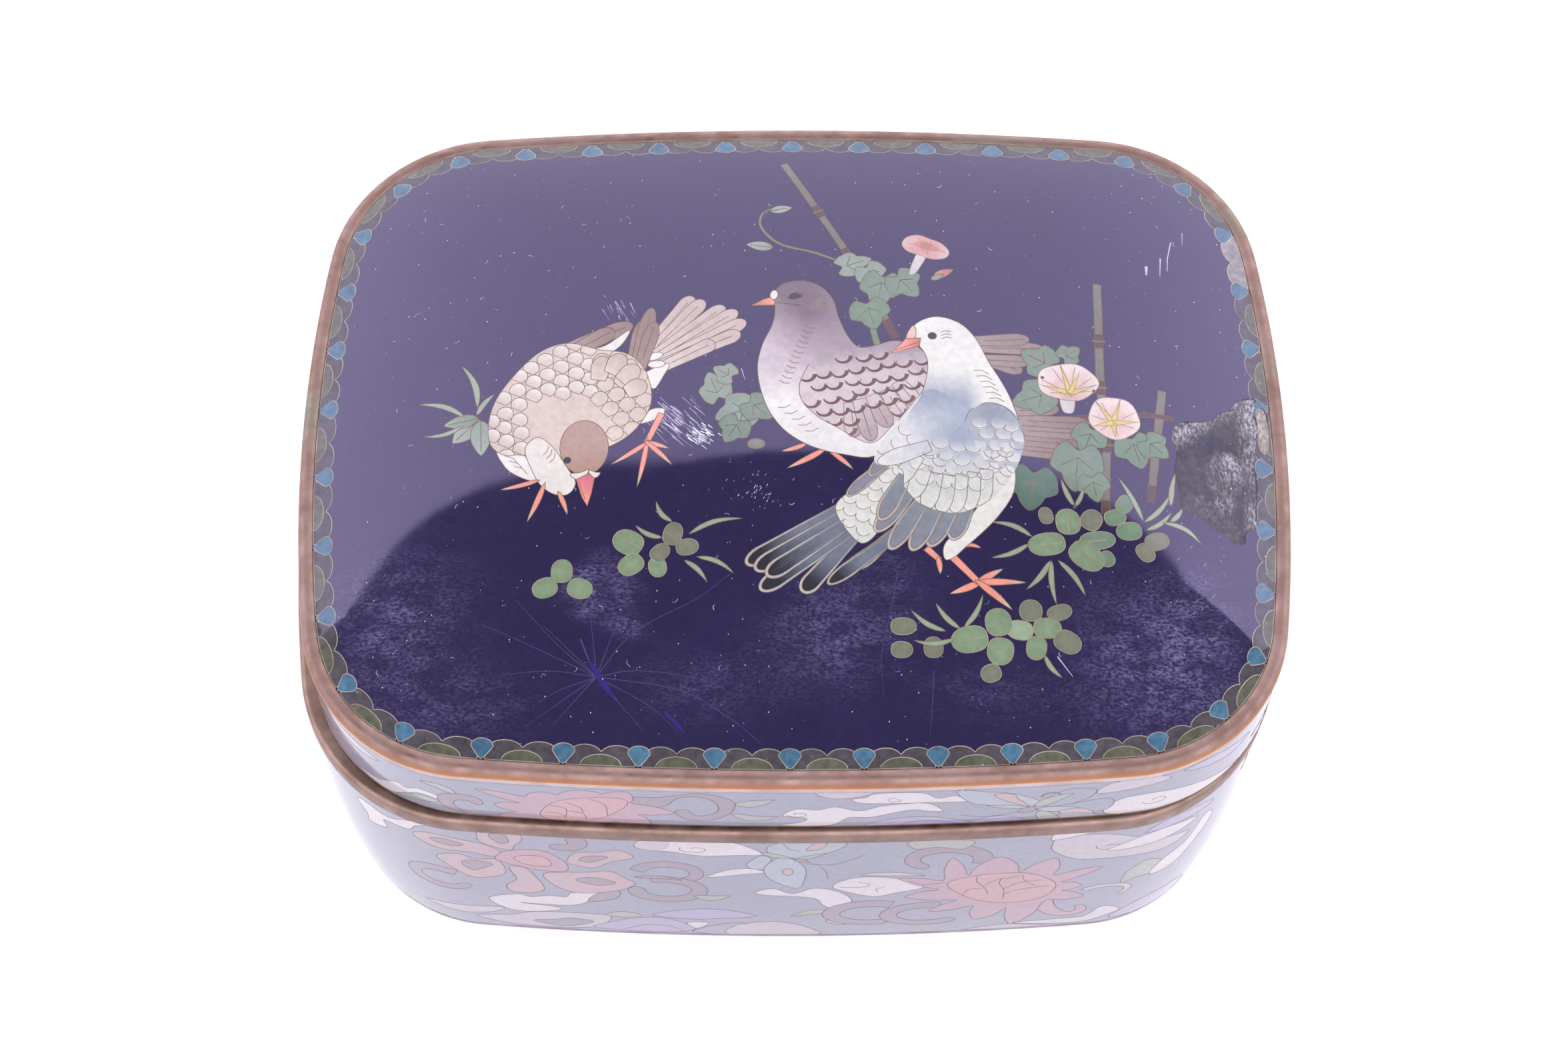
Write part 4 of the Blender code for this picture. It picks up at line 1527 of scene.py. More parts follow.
def draw_patch():
    """The lost piece of enamel at the right, filled with putty, and the worn enamel beside it."""
    outline = (
        (61.1, 0), (62.6, 1.2), (65.8, 1.6), (67.5, 2.1), (69, 3.4), (70.7, 4.3), (72.2, 6.1), (73.9, 6.9),
        (75.4, 6.8), (75, 4.2), (75.3, 1), (74.7, -2.6), (74.2, -6), (74.5, -9.8), (73.9, -13.6),
        (74.1, -16.6), (72, -18.2), (71.6, -20.2), (69.7, -20.4), (67.8, -18.6), (66.4, -18), (64.8, -16.4),
        (61.6, -14.8), (61.3, -11.1), (60.9, -8), (61.4, -4.4), (60.8, -2),
    )
    lid_sheet.cell(smooth_loop(outline, 3), patch_paint, "patch", "bare")
    worn = ((75.2, 4.6), (76.1, 5.4), (76.9, 4.6), (77.2, 1.6), (77.1, -2), (76.2, -3.4), (75.2, -2.2),
            (75.3, 1.2))
    beige = glaze(158, 146, 136, thin_haze)
    lid_sheet.cell(smooth_loop(worn, 3), lambda x, y: (*beige, 0.9), "patch", "bare")
    step = 0.7
    lid_sheet.fine += [Vector((x * step, y * step)) for x in range(87, 108) for y in range(-30, 11)]


def draw_streak(path, width, colour):
    """A scratch or a hairline crack: a fine strip of another colour in the ground."""
    lid_sheet.cell(strip(path, width, width * 0.4), colour, "ground", "bare", ground_cell)


def draw_scuff(middle, way, reach, count, longest, colour):
    """A rubbed place: many short fine scratches side by side."""
    chance = random.Random(count)
    way = Vector(way).normalized()
    for _ in range(count):
        spot = Vector(middle) + Vector((chance.gauss(0, reach[0]), chance.gauss(0, reach[1])))
        length = chance.uniform(0.25, 1.0) * longest
        turn = way + Vector((chance.uniform(-0.12, 0.12), chance.uniform(-0.12, 0.12)))
        draw_streak([spot, spot + turn * length], chance.uniform(0.07, 0.2),
                    mix(navy, colour, chance.uniform(0.4, 1.0)))


def draw_crack():
    """The star crack at the lower left, with cobalt showing in it."""
    middle = Vector((-30.8, -44.7))
    hair = (0.034, 0.030, 0.082)
    cobalt = (0.018, 0.013, 0.10)
    for ways in (
        ((-18.3, 9),), ((-6, 5), (-13, 12.9)), ((-8.4, 8.3),), ((-1.2, 10.7),), ((2.7, 7.8),),
        ((5.6, 7.1), (15.4, 12.7), (20.8, 17.1)), ((6.4, 1), (16.7, -0.5), (22, -3.6)),
        ((12.6, -2), (20.4, -6.3), (25.6, -10.4)), ((8, -4.4), (12.6, -8.4)), ((-5.6, -2), (-9, -4)),
        ((-7, 1), (-14.6, 0.5)), ((-10.9, -7.6),), ((-6.8, -7.6),), ((4, -4.6), (7.4, -8.4)),
    ):
        path = smooth_path([middle + Vector(way) for way in ((0, 0), *ways)], 3)
        draw_streak(path, 0.17, hair)
    draw_streak(smooth_path(((-33.4, -38.6), (-32.2, -41.6), (-30.8, -44.7), (-27.5, -48.3)), 4), 0.3, hair)
    lid_sheet.cell(blade((-32, -42), (-27.6, -48.6), 1.0, -0.15), cobalt, "ground", "bare", ground_cell)
    lid_sheet.cell(blade((-20.4, -50), (-17, -53.6), 0.7, 0.1), cobalt, "ground", "bare", ground_cell)
    for path in (
        ((16.1, -27.2), (14.7, -34.9), (13.3, -41.3), (13.6, -47.7)), ((21.4, -43.7), (21, -50), (20.6, -54)),
    ):
        draw_streak(smooth_path(path, 3), 0.14, hair)


def draw_scratches():
    pale = (0.30, 0.29, 0.38)
    for path, width in (
        (((58.6, 31.1), (58.5, 29.3)), 0.5), (((61.1, 33), (60.8, 29.3)), 0.22),
        (((63.1, 36.5), (62.3, 33), (62.1, 30.4)), 0.22), (((65.2, 38.7), (65, 36)), 0.12),
        (((40.6, -41.4), (42.9, -44.6)), 0.2), (((-8.6, 9.4), (-8, 7.2)), 0.12),
    ):
        draw_streak(path, width, pale)
    draw_scuff((-19.6, 0.2), (0.72, -0.7), (2.2, 1.7), 80, 3.4, pale)
    draw_scuff((-15.6, -3), (0.76, -0.6), (1.3, 1), 60, 1.6, (0.6, 0.6, 0.7))
    draw_scuff((-28.6, 21.4), (0.45, -0.9), (1.2, 1.4), 16, 3.2, pale)
    draw_scuff((-6.1, -13.1), (0.5, 0.9), (1.9, 1.5), 46, 0.5, pale)
    draw_scuff((64.6, -31), (0.7, 0.7), (5, 8), 30, 1.0, (0.16, 0.15, 0.22))
    chance = random.Random(5)
    for _ in range(90):
        spot = Vector((chance.uniform(-66, 66), chance.uniform(-48, 48)))
        bend = Vector((chance.uniform(-0.6, 0.6), chance.uniform(-0.6, 0.6)))
        path = smooth_path((spot, spot + bend, spot + bend * 1.4 + Vector((bend.y, -bend.x)) * 0.6), 3)
        draw_streak(path, chance.uniform(0.08, 0.14), mix(navy, pale, chance.uniform(0.4, 1.0)))


def add_fine_points():
    """Closer points under the birds and the dull places, so that their shading runs smoothly."""
    step = 0.9
    for (cx, cy), (rx, ry) in (
        ((-34, 2), (18, 20)), ((6, 9), (17, 18)), ((20, -6), (20, 28)),
        ((-31, -31), (8, 8)),
    ):
        for row in range(int(2 * ry / step)):
            for column in range(int(2 * rx / step)):
                spot = Vector((cx - rx + (column + 0.5 * (row % 2)) * step, cy - ry + row * step))
                lid_sheet.fine.append(spot)


# The side bands, in millimetres round the box and up

side_haze = 0.035
side_light = 2.4


def wash(red, green, blue):
    """A side band's enamel, by how it looks on the box."""
    return tuple(max(level - side_haze, 0.004) / side_light for level in tone(red, green, blue))


band_ground = wash(172, 174, 194)
band_pink = wash(204, 182, 191)
band_rose = wash(200, 172, 188)
band_salmon = wash(212, 175, 182)
band_mauve = wash(174, 162, 178)
band_white = wash(230, 224, 232)
band_blush = wash(208, 200, 212)
band_lilac = wash(188, 180, 214)
band_sage = wash(184, 189, 188)
band_pale = wash(186, 194, 208)
band_slate = wash(158, 158, 176)


class Band:
    """An enamel band round the box: its sheet, and motifs that can be moved round the box and mirrored."""

    def __init__(self, low, high):
        self.sheet = EnamelSheet()
        self.low, self.high = low, high
        corner = plan.long_length + plan.corner_length / 2
        self.ends = (-corner, corner, 2 * plan.quarter - corner, 2 * plan.quarter + corner,
                     plan.round - corner)
        self.parts = ("front", "right", "back", "left")
        self.shift = 0.0
        self.mirrored = False
        self.sheet.cell(self.stretch(self.ends), band_ground, "front", "bare")
        for part, start, end in zip(self.parts, self.ends, self.ends[1:]):
            self.sheet.cell(self.stretch((start, end)), band_ground, part, "bare", 0)
        step = 2.4
        for row in range(1, int((high - low) / step) + 1):
            for column in range(int(plan.round / step)):
                spot = Vector((self.ends[0] + (column + 0.5 * (row % 2) + 0.3) * step,
                               low + row * step - 0.4))
                self.sheet.fine.append(spot)

    def stretch(self, ends):
        """The outline of a stretch of the band, with points close enough to bend round the box."""
        places = []
        for start, end in zip(ends, ends[1:]):
            count = int((end - start) / 1.6) + 1
            places += [start + (end - start) * step / count for step in range(count)]
        places.append(ends[-1])
        heights = [self.low + (self.high - self.low) * step / 16 for step in range(1, 16)]
        rising = [(ends[-1], up) for up in heights]
        falling = [(ends[0], up) for up in reversed(heights)]
        return ([(place, self.low) for place in places] + rising
                + [(place, self.high) for place in reversed(places)] + falling)

    def moved(self, points):
        return [(self.shift - x if self.mirrored else self.shift + x, y) for x, y in points]

    def turns(self, points):
        """The outline as often as it falls on the band, whose ends meet."""
        for turn in (-plan.round, 0.0, plan.round):
            copy = [(x + turn, y) for x, y in points]
            if max(x for x, _ in copy) > self.ends[0] and min(x for x, _ in copy) < self.ends[-1]:
                yield copy

    def part(self, points):
        middle = sum(x for x, _ in points) / len(points)
        for part, end in zip(self.parts, self.ends[1:]):
            if middle < end:
                return part
        return self.parts[-1]

    def cell(self, outline, colour, kind="wired"):
        for copy in self.turns(self.moved(outline)):
            self.sheet.cell(copy, colour, self.part(copy), kind, 0)

    def shape(self, points, colour, kind="wired"):
        """A cell with a smooth outline through the points."""
        self.cell(smooth_loop(points, 4), colour, kind)

    def shapes(self, *drawn):
        """Several smooth cells, each by its colour and its points."""
        for colour, *points in drawn:
            self.shape(points, colour)

    def line(self, points):
        for copy in self.turns(self.moved(smooth_path(points, 3))):
            self.sheet.line(copy, self.part(copy), 0)

    def curl(self, x, y, radius, start, sweep, width, end_width, colour, close=0.6):
        """A comma: a strip that curls round a centre, from a start angle on, closing in as it goes."""
        path = []
        steps = max(int(abs(sweep) / 18), 4)
        for step in range(steps + 1):
            share = step / steps
            angle = math.radians(start + sweep * share)
            far = radius * (1 - (1 - close) * share)
            path.append((x + far * 1.25 * math.cos(angle), y + far * math.sin(angle)))
        outline = strip(path, width, end_width)
        half = len(outline) // 2
        tail = [Vector(outline[half - 1]).lerp(Vector(outline[half]), s) for s in (0.3, 0.7)]
        push = (Vector(path[-1]) - Vector(path[-2])).normalized() * end_width * 0.45
        self.cell(outline[:half] + [p + push for p in tail] + outline[half:], colour)

    def leaf(self, root, tip, width, colour, bend=0.0):
        self.cell(blade(root, tip, width, bend), colour)

    def spiral(self, x, y, radius, start=0.0):
        """The curled wire in a cloud."""
        path = []
        for step in range(10):
            angle = math.radians(start + 40 * step)
            path.append((x + radius * (1 - step / 13) * 1.7 * math.cos(angle),
                         y + radius * (1 - step / 13) * math.sin(angle)))
        self.line(path)


lid_band = Band(lid_band_low, lid_side_high.z - lid_edge_low.z)
base_band = Band(base_side_low.z, base_band_high)


# The lid's side

butterfly_place = (37, 4.4)


def petal_ring(valleys, tips):
    """An outline of pointed petals round a flower, each from one valley past its tip to the next."""
    bulge = 0.56
    made = []
    for number, (valley, tip) in enumerate(zip(valleys, tips)):
        ahead = Vector(valleys[(number + 1) % len(valleys)])
        valley, tip = Vector(valley), Vector(tip)
        root = (valley + ahead) / 2
        for start, end in ((valley, tip), (tip, ahead)):
            middle = (start + end) / 2
            out, way = middle - root, tip - root
            aside = out - way * out.dot(way) / way.length_squared
            made += [start, middle + aside * bulge]
    return smooth_loop(made, 4)


def draw_swirl_flower(band):
    """The big pink flower with swirling petals and a scaly salmon middle."""
    band.shapes(
        (band_mauve, (-46.6, 1), (-51.2, 0.8), (-53.6, 3.2), (-53.3, 5.4), (-51.4, 5.6), (-50, 4.3), (-49, 5),
         (-49.8, 7), (-52.6, 8), (-56, 6.6), (-55.6, 2.6), (-52, 0.4), (-47, -0.6)),
        (band_mauve, (-26.6, 6.6), (-20.7, 7.2), (-18.4, 10.6), (-15.3, 11.4), (-12.5, 9.4), (-12.2, 5.8),
         (-14.7, 4), (-16.1, 4.6), (-16.9, 6.3), (-18.9, 5.4), (-17.1, 2.5), (-13.4, 2.4), (-10.2, 5.2),
         (-9.5, 9.4), (-12.2, 11.9), (-15.8, 12.7), (-20.6, 10.9), (-26.4, 10.2)),
    )
    valleys = ((-43, 0.2), (-44, 2.7), (-43.2, 6.2), (-42.4, 8.8), (-37, 10), (-30, 11.2), (-25.6, 8.2),
               (-24.6, 3.8), (-28.6, 0.8), (-36.4, -0.2))
    tips = ((-46.8, 0.5), (-47.4, 5), (-49.8, 10.4), (-39.2, 11), (-33.8, 12.4), (-26, 12.4), (-19, 5),
            (-22.8, -0.2), (-32.2, -1.6), (-41, -1.8))
    band.cell(petal_ring(valleys, tips), band_rose)
    band.shape(((-40.1, 2.9), (-37.6, 7.4), (-32.6, 9.6), (-28, 10), (-26.1, 8.6), (-27.5, 5.2), (-31, 1.6),
                (-36.4, 0.1), (-39.4, 0.8)), band_salmon)
    for path in (
        ((-38.6, 6), (-36, 5), (-36.2, 1.5)), ((-39.6, 3.1), (-37.2, 3), (-36.3, 2)),
        ((-35.6, 4.1), (-33.4, 3.4), (-32.9, 1.3)), ((-36, 7.4), (-33.8, 5.8), (-33.3, 3.8)),
        ((-32.3, 9.3), (-29.8, 7.2), (-29.5, 3)),
    ):
        band.line(path)


def draw_lid_clouds(band):
    band.shape(((-71.6, 1.5), (-67, 2.9), (-63.4, 6), (-61.7, 5.4), (-59.3, 6.9), (-56.1, 6), (-56.5, 4.7),
                (-59.5, 5.1), (-63.5, 1.6), (-66.6, 0.4)), band_white)
    band.leaf((-53, 7.8), (-58.8, 10.4), 1.9, band_sage, -0.9)
    band.leaf((-55.9, 4), (-63.8, 1), 2.0, band_sage, -0.8)
    band.leaf((-9.6, 8.6), (-3.2, 10.6), 2.4, band_sage, -0.5)
    band.leaf((-10, 5), (-2.6, 4), 2.0, band_sage, -1.2)
    band.shape((
        (-2, 4.4), (0.1, 7), (3.6, 6.7), (6.2, 7.8), (10, 6.2), (14.2, 8.1), (20.3, 8.6), (23.1, 5.4),
        (20.7, 5.5), (17.8, 6.1), (12, 3.6), (8.5, 3.6), (5.3, 0.6), (-2.3, 0.6), (1, 2), (1.6, 3.5),
    ), band_white)
    band.spiral(0.4, 4.9, 1.1, 200)
    band.shape(((8.7, 10.6), (10.9, 11.3), (12.4, 12.7), (19.3, 12.7), (22.1, 10.4), (24.7, 11.1),
                (26.7, 8.8), (21.9, 8.8), (16.8, 8.8), (10.5, 9.1)), band_white)
    band.spiral(15.6, 10.0, 0.9, 90)
    band.shapes(
        (band_blush, (3.4, 13.4), (5.2, 11.2), (8.8, 11.2), (12.2, 13.4)),
        (band_lilac, (11.3, -0.4), (14, 2.4), (19.7, 3.4), (24, 2.3), (28, -0.6)),
    )
    band.line(((15, -0.4), (20, 1.9), (25.6, 0.4)))
    band.shapes(
        (band_lilac, (27.4, -0.6), (30, 2.2), (33, 2.4), (36, 0.2)),
        (band_blush, (46.9, 9.4), (49, 12.6), (55.3, 13.8), (58.7, 11.4), (54.1, 10.2), (49.2, 9)),
        (band_white, (48.6, 2), (51, 6.2), (55.6, 7.2), (61.7, 5.5), (69.9, 2.2), (74, 0.6), (66.7, 0.2),
         (60.7, 0.1), (53.9, 0.6), (50.5, 0.4)),
    )
    band.spiral(57.0, 4.0, 1.4, 180)
    band.shapes(
        (band_lilac, (60.7, 12.6), (64.8, 12.8), (71.2, 10.4), (75.2, 8.6), (70, 8), (63.2, 10.8)),
        (band_blush, (-80, 11.6), (-72, 12.4), (-66, 11), (-71, 9.6)),
    )


def draw_butterfly(band):
    """A butterfly on the lid's band, its body in the middle."""
    x, y = butterfly_place

    def spots(*points):
        return [(x + u, y + v) for u, v in points]

    def wing_leaf(root, tip, width, bend):
        band.leaf(*spots(root, tip), width, band_sage, bend)

    band.shape(spots(
        (-12, 8.6), (-10, 4), (-7.2, 2.6), (-0.6, 1.3), (1.2, 2.8), (-0.8, 5), (-3.4, 6.6), (-7, 7.6),
    ), band_pale)
    band.shape(spots((-6.2, 6.6), (-3.2, 6.4), (-2.4, 4.6), (-0.4, 1.3), (-3.4, 3.2), (-5, 4.6)), band_pink)
    wing_leaf((-0.4, 1), (-7.2, 2.4), 1.4, 0.2)
    band.shape(spots((0.6, 1.4), (2.2, 4.2), (5.2, 7), (9.6, 6.6), (9, 3.4), (5, 0.8)), band_ground)
    band.curl(x + 3.0, y + 5.0, 1.3, 200, -300, 0.3, 0.2, band_slate)
    wing_leaf((0.4, 1), (6.4, 5.4), 2.2, 0.3)
    band.shape(spots((0.8, -0.2), (5.2, 1), (11.8, 2.6), (13, 0), (11, -2.4), (6, -1.2)), band_ground)
    band.shape(spots((1, -0.2), (3, 0.7), (7.6, -0.4), (5, -1.4), (2.2, -1)), band_pale)
    band.shape(spots((4.4, -1.4), (8.2, -0.7), (10.2, -3.2), (7, -3.6)), band_pink)
    band.shape(spots((4.6, -2.6), (10.2, -3.2), (11.2, -6.8), (5.6, -6.6)), band_pale)
    wing_leaf((1.2, -0.8), (5.8, -7), 3.0, -0.3)
    band.shape(spots((-2, -1), (-1.4, 0.5), (0.1, 0.9), (0.9, 0.1), (0.1, -0.9)), band_mauve)
    band.line(spots((-11, -0.9), (-7.2, -2.1), (-3.9, -1.3), (-2, -0.6)))


# The base's side


def draw_blossom(band):
    """The pink blossom of open petals round a salmon middle."""
    band.shapes(
        (band_pink, (-60, 43.5), (-57, 45.2), (-51.6, 44.2), (-48, 42.6), (-46.2, 40.1), (-47.6, 38.2),
         (-51.4, 39.4), (-56.8, 39.6), (-60, 41.6)),
        (band_mauve, (-57.5, 42.9), (-55, 43.9), (-52, 42.3), (-55, 41.4)),
        (band_pink, (-49.6, 46), (-48.6, 49), (-43.4, 49), (-42.3, 46), (-43.7, 43.4), (-44.6, 41.4),
         (-48.6, 43.3)),
        (band_mauve, (-47.6, 47.2), (-45.4, 47.9), (-44.5, 45), (-46.2, 44)),
        (band_pink, (-57, 36), (-53.4, 38.3), (-50.4, 36.5), (-47, 37), (-46, 31.2), (-49.9, 28.4),
         (-52.4, 28.8), (-55.6, 33)),
        (band_mauve, (-53, 34.5), (-51.4, 36), (-47.9, 34.9), (-49.8, 32.6), (-51.6, 31.6)),
        (band_pink, (-45.2, 34.2), (-42.8, 34.2), (-41.2, 30.8), (-40, 25), (-41.8, 22.6), (-45.4, 22.4),
         (-46.3, 25.4), (-44.4, 28.6), (-44.9, 31.6)),
        (band_pink, (-39.6, 32.2), (-33, 33.5), (-28.6, 34.5), (-26.4, 31.6), (-24.8, 29.2), (-28, 25.6),
         (-34.4, 23.7), (-38.2, 26.8)),
        (band_mauve, (-34.6, 30), (-31.6, 31.4), (-27.9, 29.4), (-31, 27.8)),
        (band_pink, (-35.6, 38), (-34, 41.8), (-30.2, 42.5), (-27, 43.7), (-24.6, 40.9), (-28.4, 38.6),
         (-31.2, 35.7), (-34.4, 36.6)),
        (band_mauve, (-33.6, 38.9), (-32, 40.7), (-28.8, 40.7), (-31.4, 38.2)),
        (band_rose, (-47.3, 37.4), (-45.6, 40.6), (-41.6, 42.1), (-38.2, 41.1), (-35.6, 36.6), (-36.4, 33.3),
         (-41.4, 33.8), (-45.6, 35.8)),
        (band_salmon, (-44.2, 38.2), (-41.6, 39.7), (-38.8, 38.8), (-38.3, 35.6), (-42, 35.4)),
        (band_mauve, (-38, 44.2), (-37, 45), (-35, 45.4), (-35.2, 47.4), (-32.6, 48.2), (-31.9, 45),
         (-34.2, 42.6), (-37.4, 42.8)),
    )


def draw_base_clouds(band):
    """White and blush clouds, scrolls and leaves between the flowers."""
    band.shape(((-71.2, 43.4), (-69, 45.4), (-64.6, 44.9), (-60.6, 47.6), (-57, 48.4), (-59.6, 46.2),
                (-60.9, 43.8), (-65.6, 42.6), (-65.4, 39.6), (-69.4, 37.2), (-69.4, 40)), band_white)
    band.curl(-57.0, 25.8, 4.2, 60, 270, 2.6, 2.2, band_mauve, 0.85)
    band.shapes(
        (band_white, (-49.8, 18.4), (-45, 21.4), (-42.6, 20.4), (-39.6, 21.6), (-36.6, 21.4), (-35.6, 23.6),
         (-31, 24.1), (-32.4, 20.6), (-36, 17), (-44.6, 16.9), (-39, 15.9), (-38.2, 14), (-44, 12),
         (-47.6, 13.6)),
        (band_mauve, (-31.2, 24), (-27.6, 25.6), (-28.4, 21.6), (-33, 19.6)),
        (band_blush, (-53, 7), (-46.8, 9.4), (-41.7, 12.4), (-31, 12.5), (-29.8, 9.6), (-33.6, 3.6),
         (-45, 2.6)),
        (band_slate, (-43.2, 6.4), (-39, 8.1), (-36.5, 9.4), (-32.7, 7.6), (-38.1, 3.6)),
        (band_blush, (-62, 10.4), (-52.7, 13.2), (-47.6, 13.4), (-50.6, 9.8), (-57.1, 8.4)),
    )
    band.curl(-19.2, 34.4, 4.2, 170, -230, 2.7, 2.2, band_mauve, 0.85)
    band.curl(-20.0, 26.6, 5.2, 110, -290, 2.6, 3.0, band_mauve, 0.72)
    band.leaf((-24.9, 32.4), (-17, 31.6), 1.3, band_mauve, 0.6)
    band.leaf((-15.2, 24), (-9.2, 24.6), 2.6, band_sage, -1.0)
    band.shape(((-24.4, 46.1), (-21.6, 48.6), (-10.6, 48.6), (-6.1, 46.2), (-3.9, 43.1), (-8, 42.8),
                (-13.4, 42.3), (-18.6, 43.8), (-22.8, 44.2)), band_white)
    band.spiral(-14.6, 45.0, 1.6, 150)
    band.shape(((-24.4, 46.1), (-21.6, 48.6), (-18.6, 48.6), (-19.6, 44.6), (-22.8, 44.2)), band_blush,
               "tint")
    band.shapes(
        (band_white, (-13, 33.1), (-9.7, 36.3), (-6, 37.2), (-3.4, 35.6), (-7, 34.6)),
        (band_lilac, (-22.6, 13.4), (-17, 17), (-10.6, 17.4), (-5, 14), (-11.7, 12.2), (-16, 11.6)),
        (band_lilac, (-32.6, 3.6), (-29.5, 8.4), (-24.5, 11.7), (-19.9, 11.6), (-15.4, 5.6), (-20, 2.4)),
        (band_white, (-16.8, 9.4), (-13, 9.6), (-15.2, 5.6)),
    )
    band.line(((-28, 3.4), (-24, 7), (-20, 6.8), (-17.6, 3.6)))
    band.shapes(
        (band_sage, (-30.6, 12.6), (-27.6, 14.9), (-24.2, 13), (-27.5, 11.4)),
        (band_ground, (-15.2, 2.2), (-14, 6.4), (-9, 9.6), (-3.4, 8.4), (-0.6, 2.2)),
        (band_blush, (-9.4, 1.6), (-8.8, 7.6), (-4.6, 10.3), (-0.6, 10.4), (3.4, 7.4), (5.4, 1.6)),
        (band_white, (-5.2, 26.3), (-2.2, 28.3), (1.1, 25.9), (4.7, 28.4), (8.7, 26.6), (11, 22), (8.6, 17.8),
         (6.2, 20), (4.8, 23.4), (0.4, 24.6), (-3.1, 25)),
        (band_white, (7.8, 29.8), (10.8, 32.8), (15, 33.1), (18.9, 31.6), (22.6, 27.8), (18.3, 25.6),
         (14.4, 24), (8.6, 27.6)),
    )
    band.line(((11.8, 30.8), (13.6, 30), (13, 28.7), (8.8, 28.7)))
    band.line(((16.2, 28.3), (14.8, 27.6), (15.2, 26.2)))
    band.leaf((12.2, 34.2), (22.6, 33.2), 1.6, band_blush, 0.5)
    band.leaf((8.6, 16.4), (0.8, 13.6), 2.4, band_sage, -1.2)
    band.leaf((7, 11.6), (10.2, 8.4), 2.6, band_sage, 0.2)
    band.curl(14.2, 14.8, 5.6, 60, 230, 3.3, 2.8, band_mauve, 0.9)
    band.curl(23.6, 13.6, 5.2, 70, 240, 3.0, 2.8, band_mauve, 0.95)
    band.curl(25.2, 39.6, 5.6, -20, 245, 3.4, 2.4, band_mauve, 0.62)
    band.shape(((19.8, 47.8), (29.6, 47.4), (28.4, 43.9), (24.4, 45.2), (20.8, 44.6)), band_sage)


def draw_blue_butterfly(band):
    """The butterfly under the base's rim."""
    band.shapes(
        (band_pale, (-3, 44.3), (-1.2, 47.9), (9.4, 47.9), (6.2, 43.3), (1, 41.5)),
        (band_pink, (3.2, 45), (4.6, 47.8), (6.5, 47.6), (5.4, 45.4)),
    )
    band.line(((-0.6, 47.6), (0.6, 45.4), (2.2, 44.6)))
    band.shapes(
        (band_pale, (-6.4, 39.2), (-4.1, 42.7), (-2.4, 41.2), (-3.6, 37), (-5.6, 37.2)),
        (band_pale, (-3.6, 37.4), (-1.6, 41.4), (1, 41.3), (3.2, 36.6), (2.2, 28.6), (-0.8, 30.2),
         (-3, 33.4)),
    )
    band.cell(oval(0.3, 35.8, 0.9, 1.5, 0, 12), band_pink)
    band.leaf((-4.2, 44), (1.2, 41.6), 1.4, band_sage, -0.2)
    band.leaf((1.2, 41.2), (6.4, 43.8), 1.2, band_sage, -0.3)
    band.leaf((1.2, 41.2), (3.8, 40), 1.3, band_mauve, 0.0)
    band.line(((3.2, 39.4), (7.8, 38.9), (12.6, 42.7)))
    band.line(((4.9, 39), (6.3, 36.4), (6.9, 32.7)))


def draw_lotus(band):
    """The lotus: rose petals that turn up and down round a scaly salmon body."""
    hook = smooth_path(((43, 18.4), (44.2, 13.6), (46.4, 10), (49, 9.4), (50.3, 11.6), (49.6, 14)), 3)
    band.cell(strip(hook, 3.6, 1.5), band_rose)
    valleys = ((25.8, 30.6), (29.8, 32.6), (38.2, 32.6), (44, 30.4), (45.6, 27), (46, 22.6), (43.6, 18),
               (37.2, 15.2), (31.4, 17.4), (28.6, 20.8), (25.2, 26.4))
    tips = ((26.8, 40.4), (34.8, 39.9), (43.8, 38), (51.8, 32.8), (49.2, 24.8), (50, 19), (39, 4.4),
            (32.4, 9.2), (24.2, 15.2), (19.8, 23.2), (18.6, 32))
    band.cell(petal_ring(valleys, tips), band_rose)
    band.shape(((26.6, 29.4), (31.6, 32.3), (39.3, 32.2), (43.6, 28.4), (44.8, 24.6), (42.8, 19.8), (38, 18),
                (32.6, 19.8), (28.6, 24.2)), band_salmon)
    for path in (
        ((31.4, 31.8), (31.4, 29.3), (33, 26), (33.6, 23.1)),
        ((35.4, 30.4), (35.2, 27.8), (36.2, 24.6), (36.3, 20.3)), ((38.7, 31.6), (39.4, 28.6), (41.4, 26)),
        ((32.5, 26.9), (34.6, 29.7), (38.4, 31)), ((36, 25.2), (38.6, 28), (42.4, 28.6)),
        ((29.4, 23.4), (30.2, 25.9), (32.6, 26)), ((36.2, 22.8), (38.8, 24.6), (43.6, 25.6)),
        ((26, 29.6), (22.6, 29), (20, 31)),
    ):
        band.line(path)


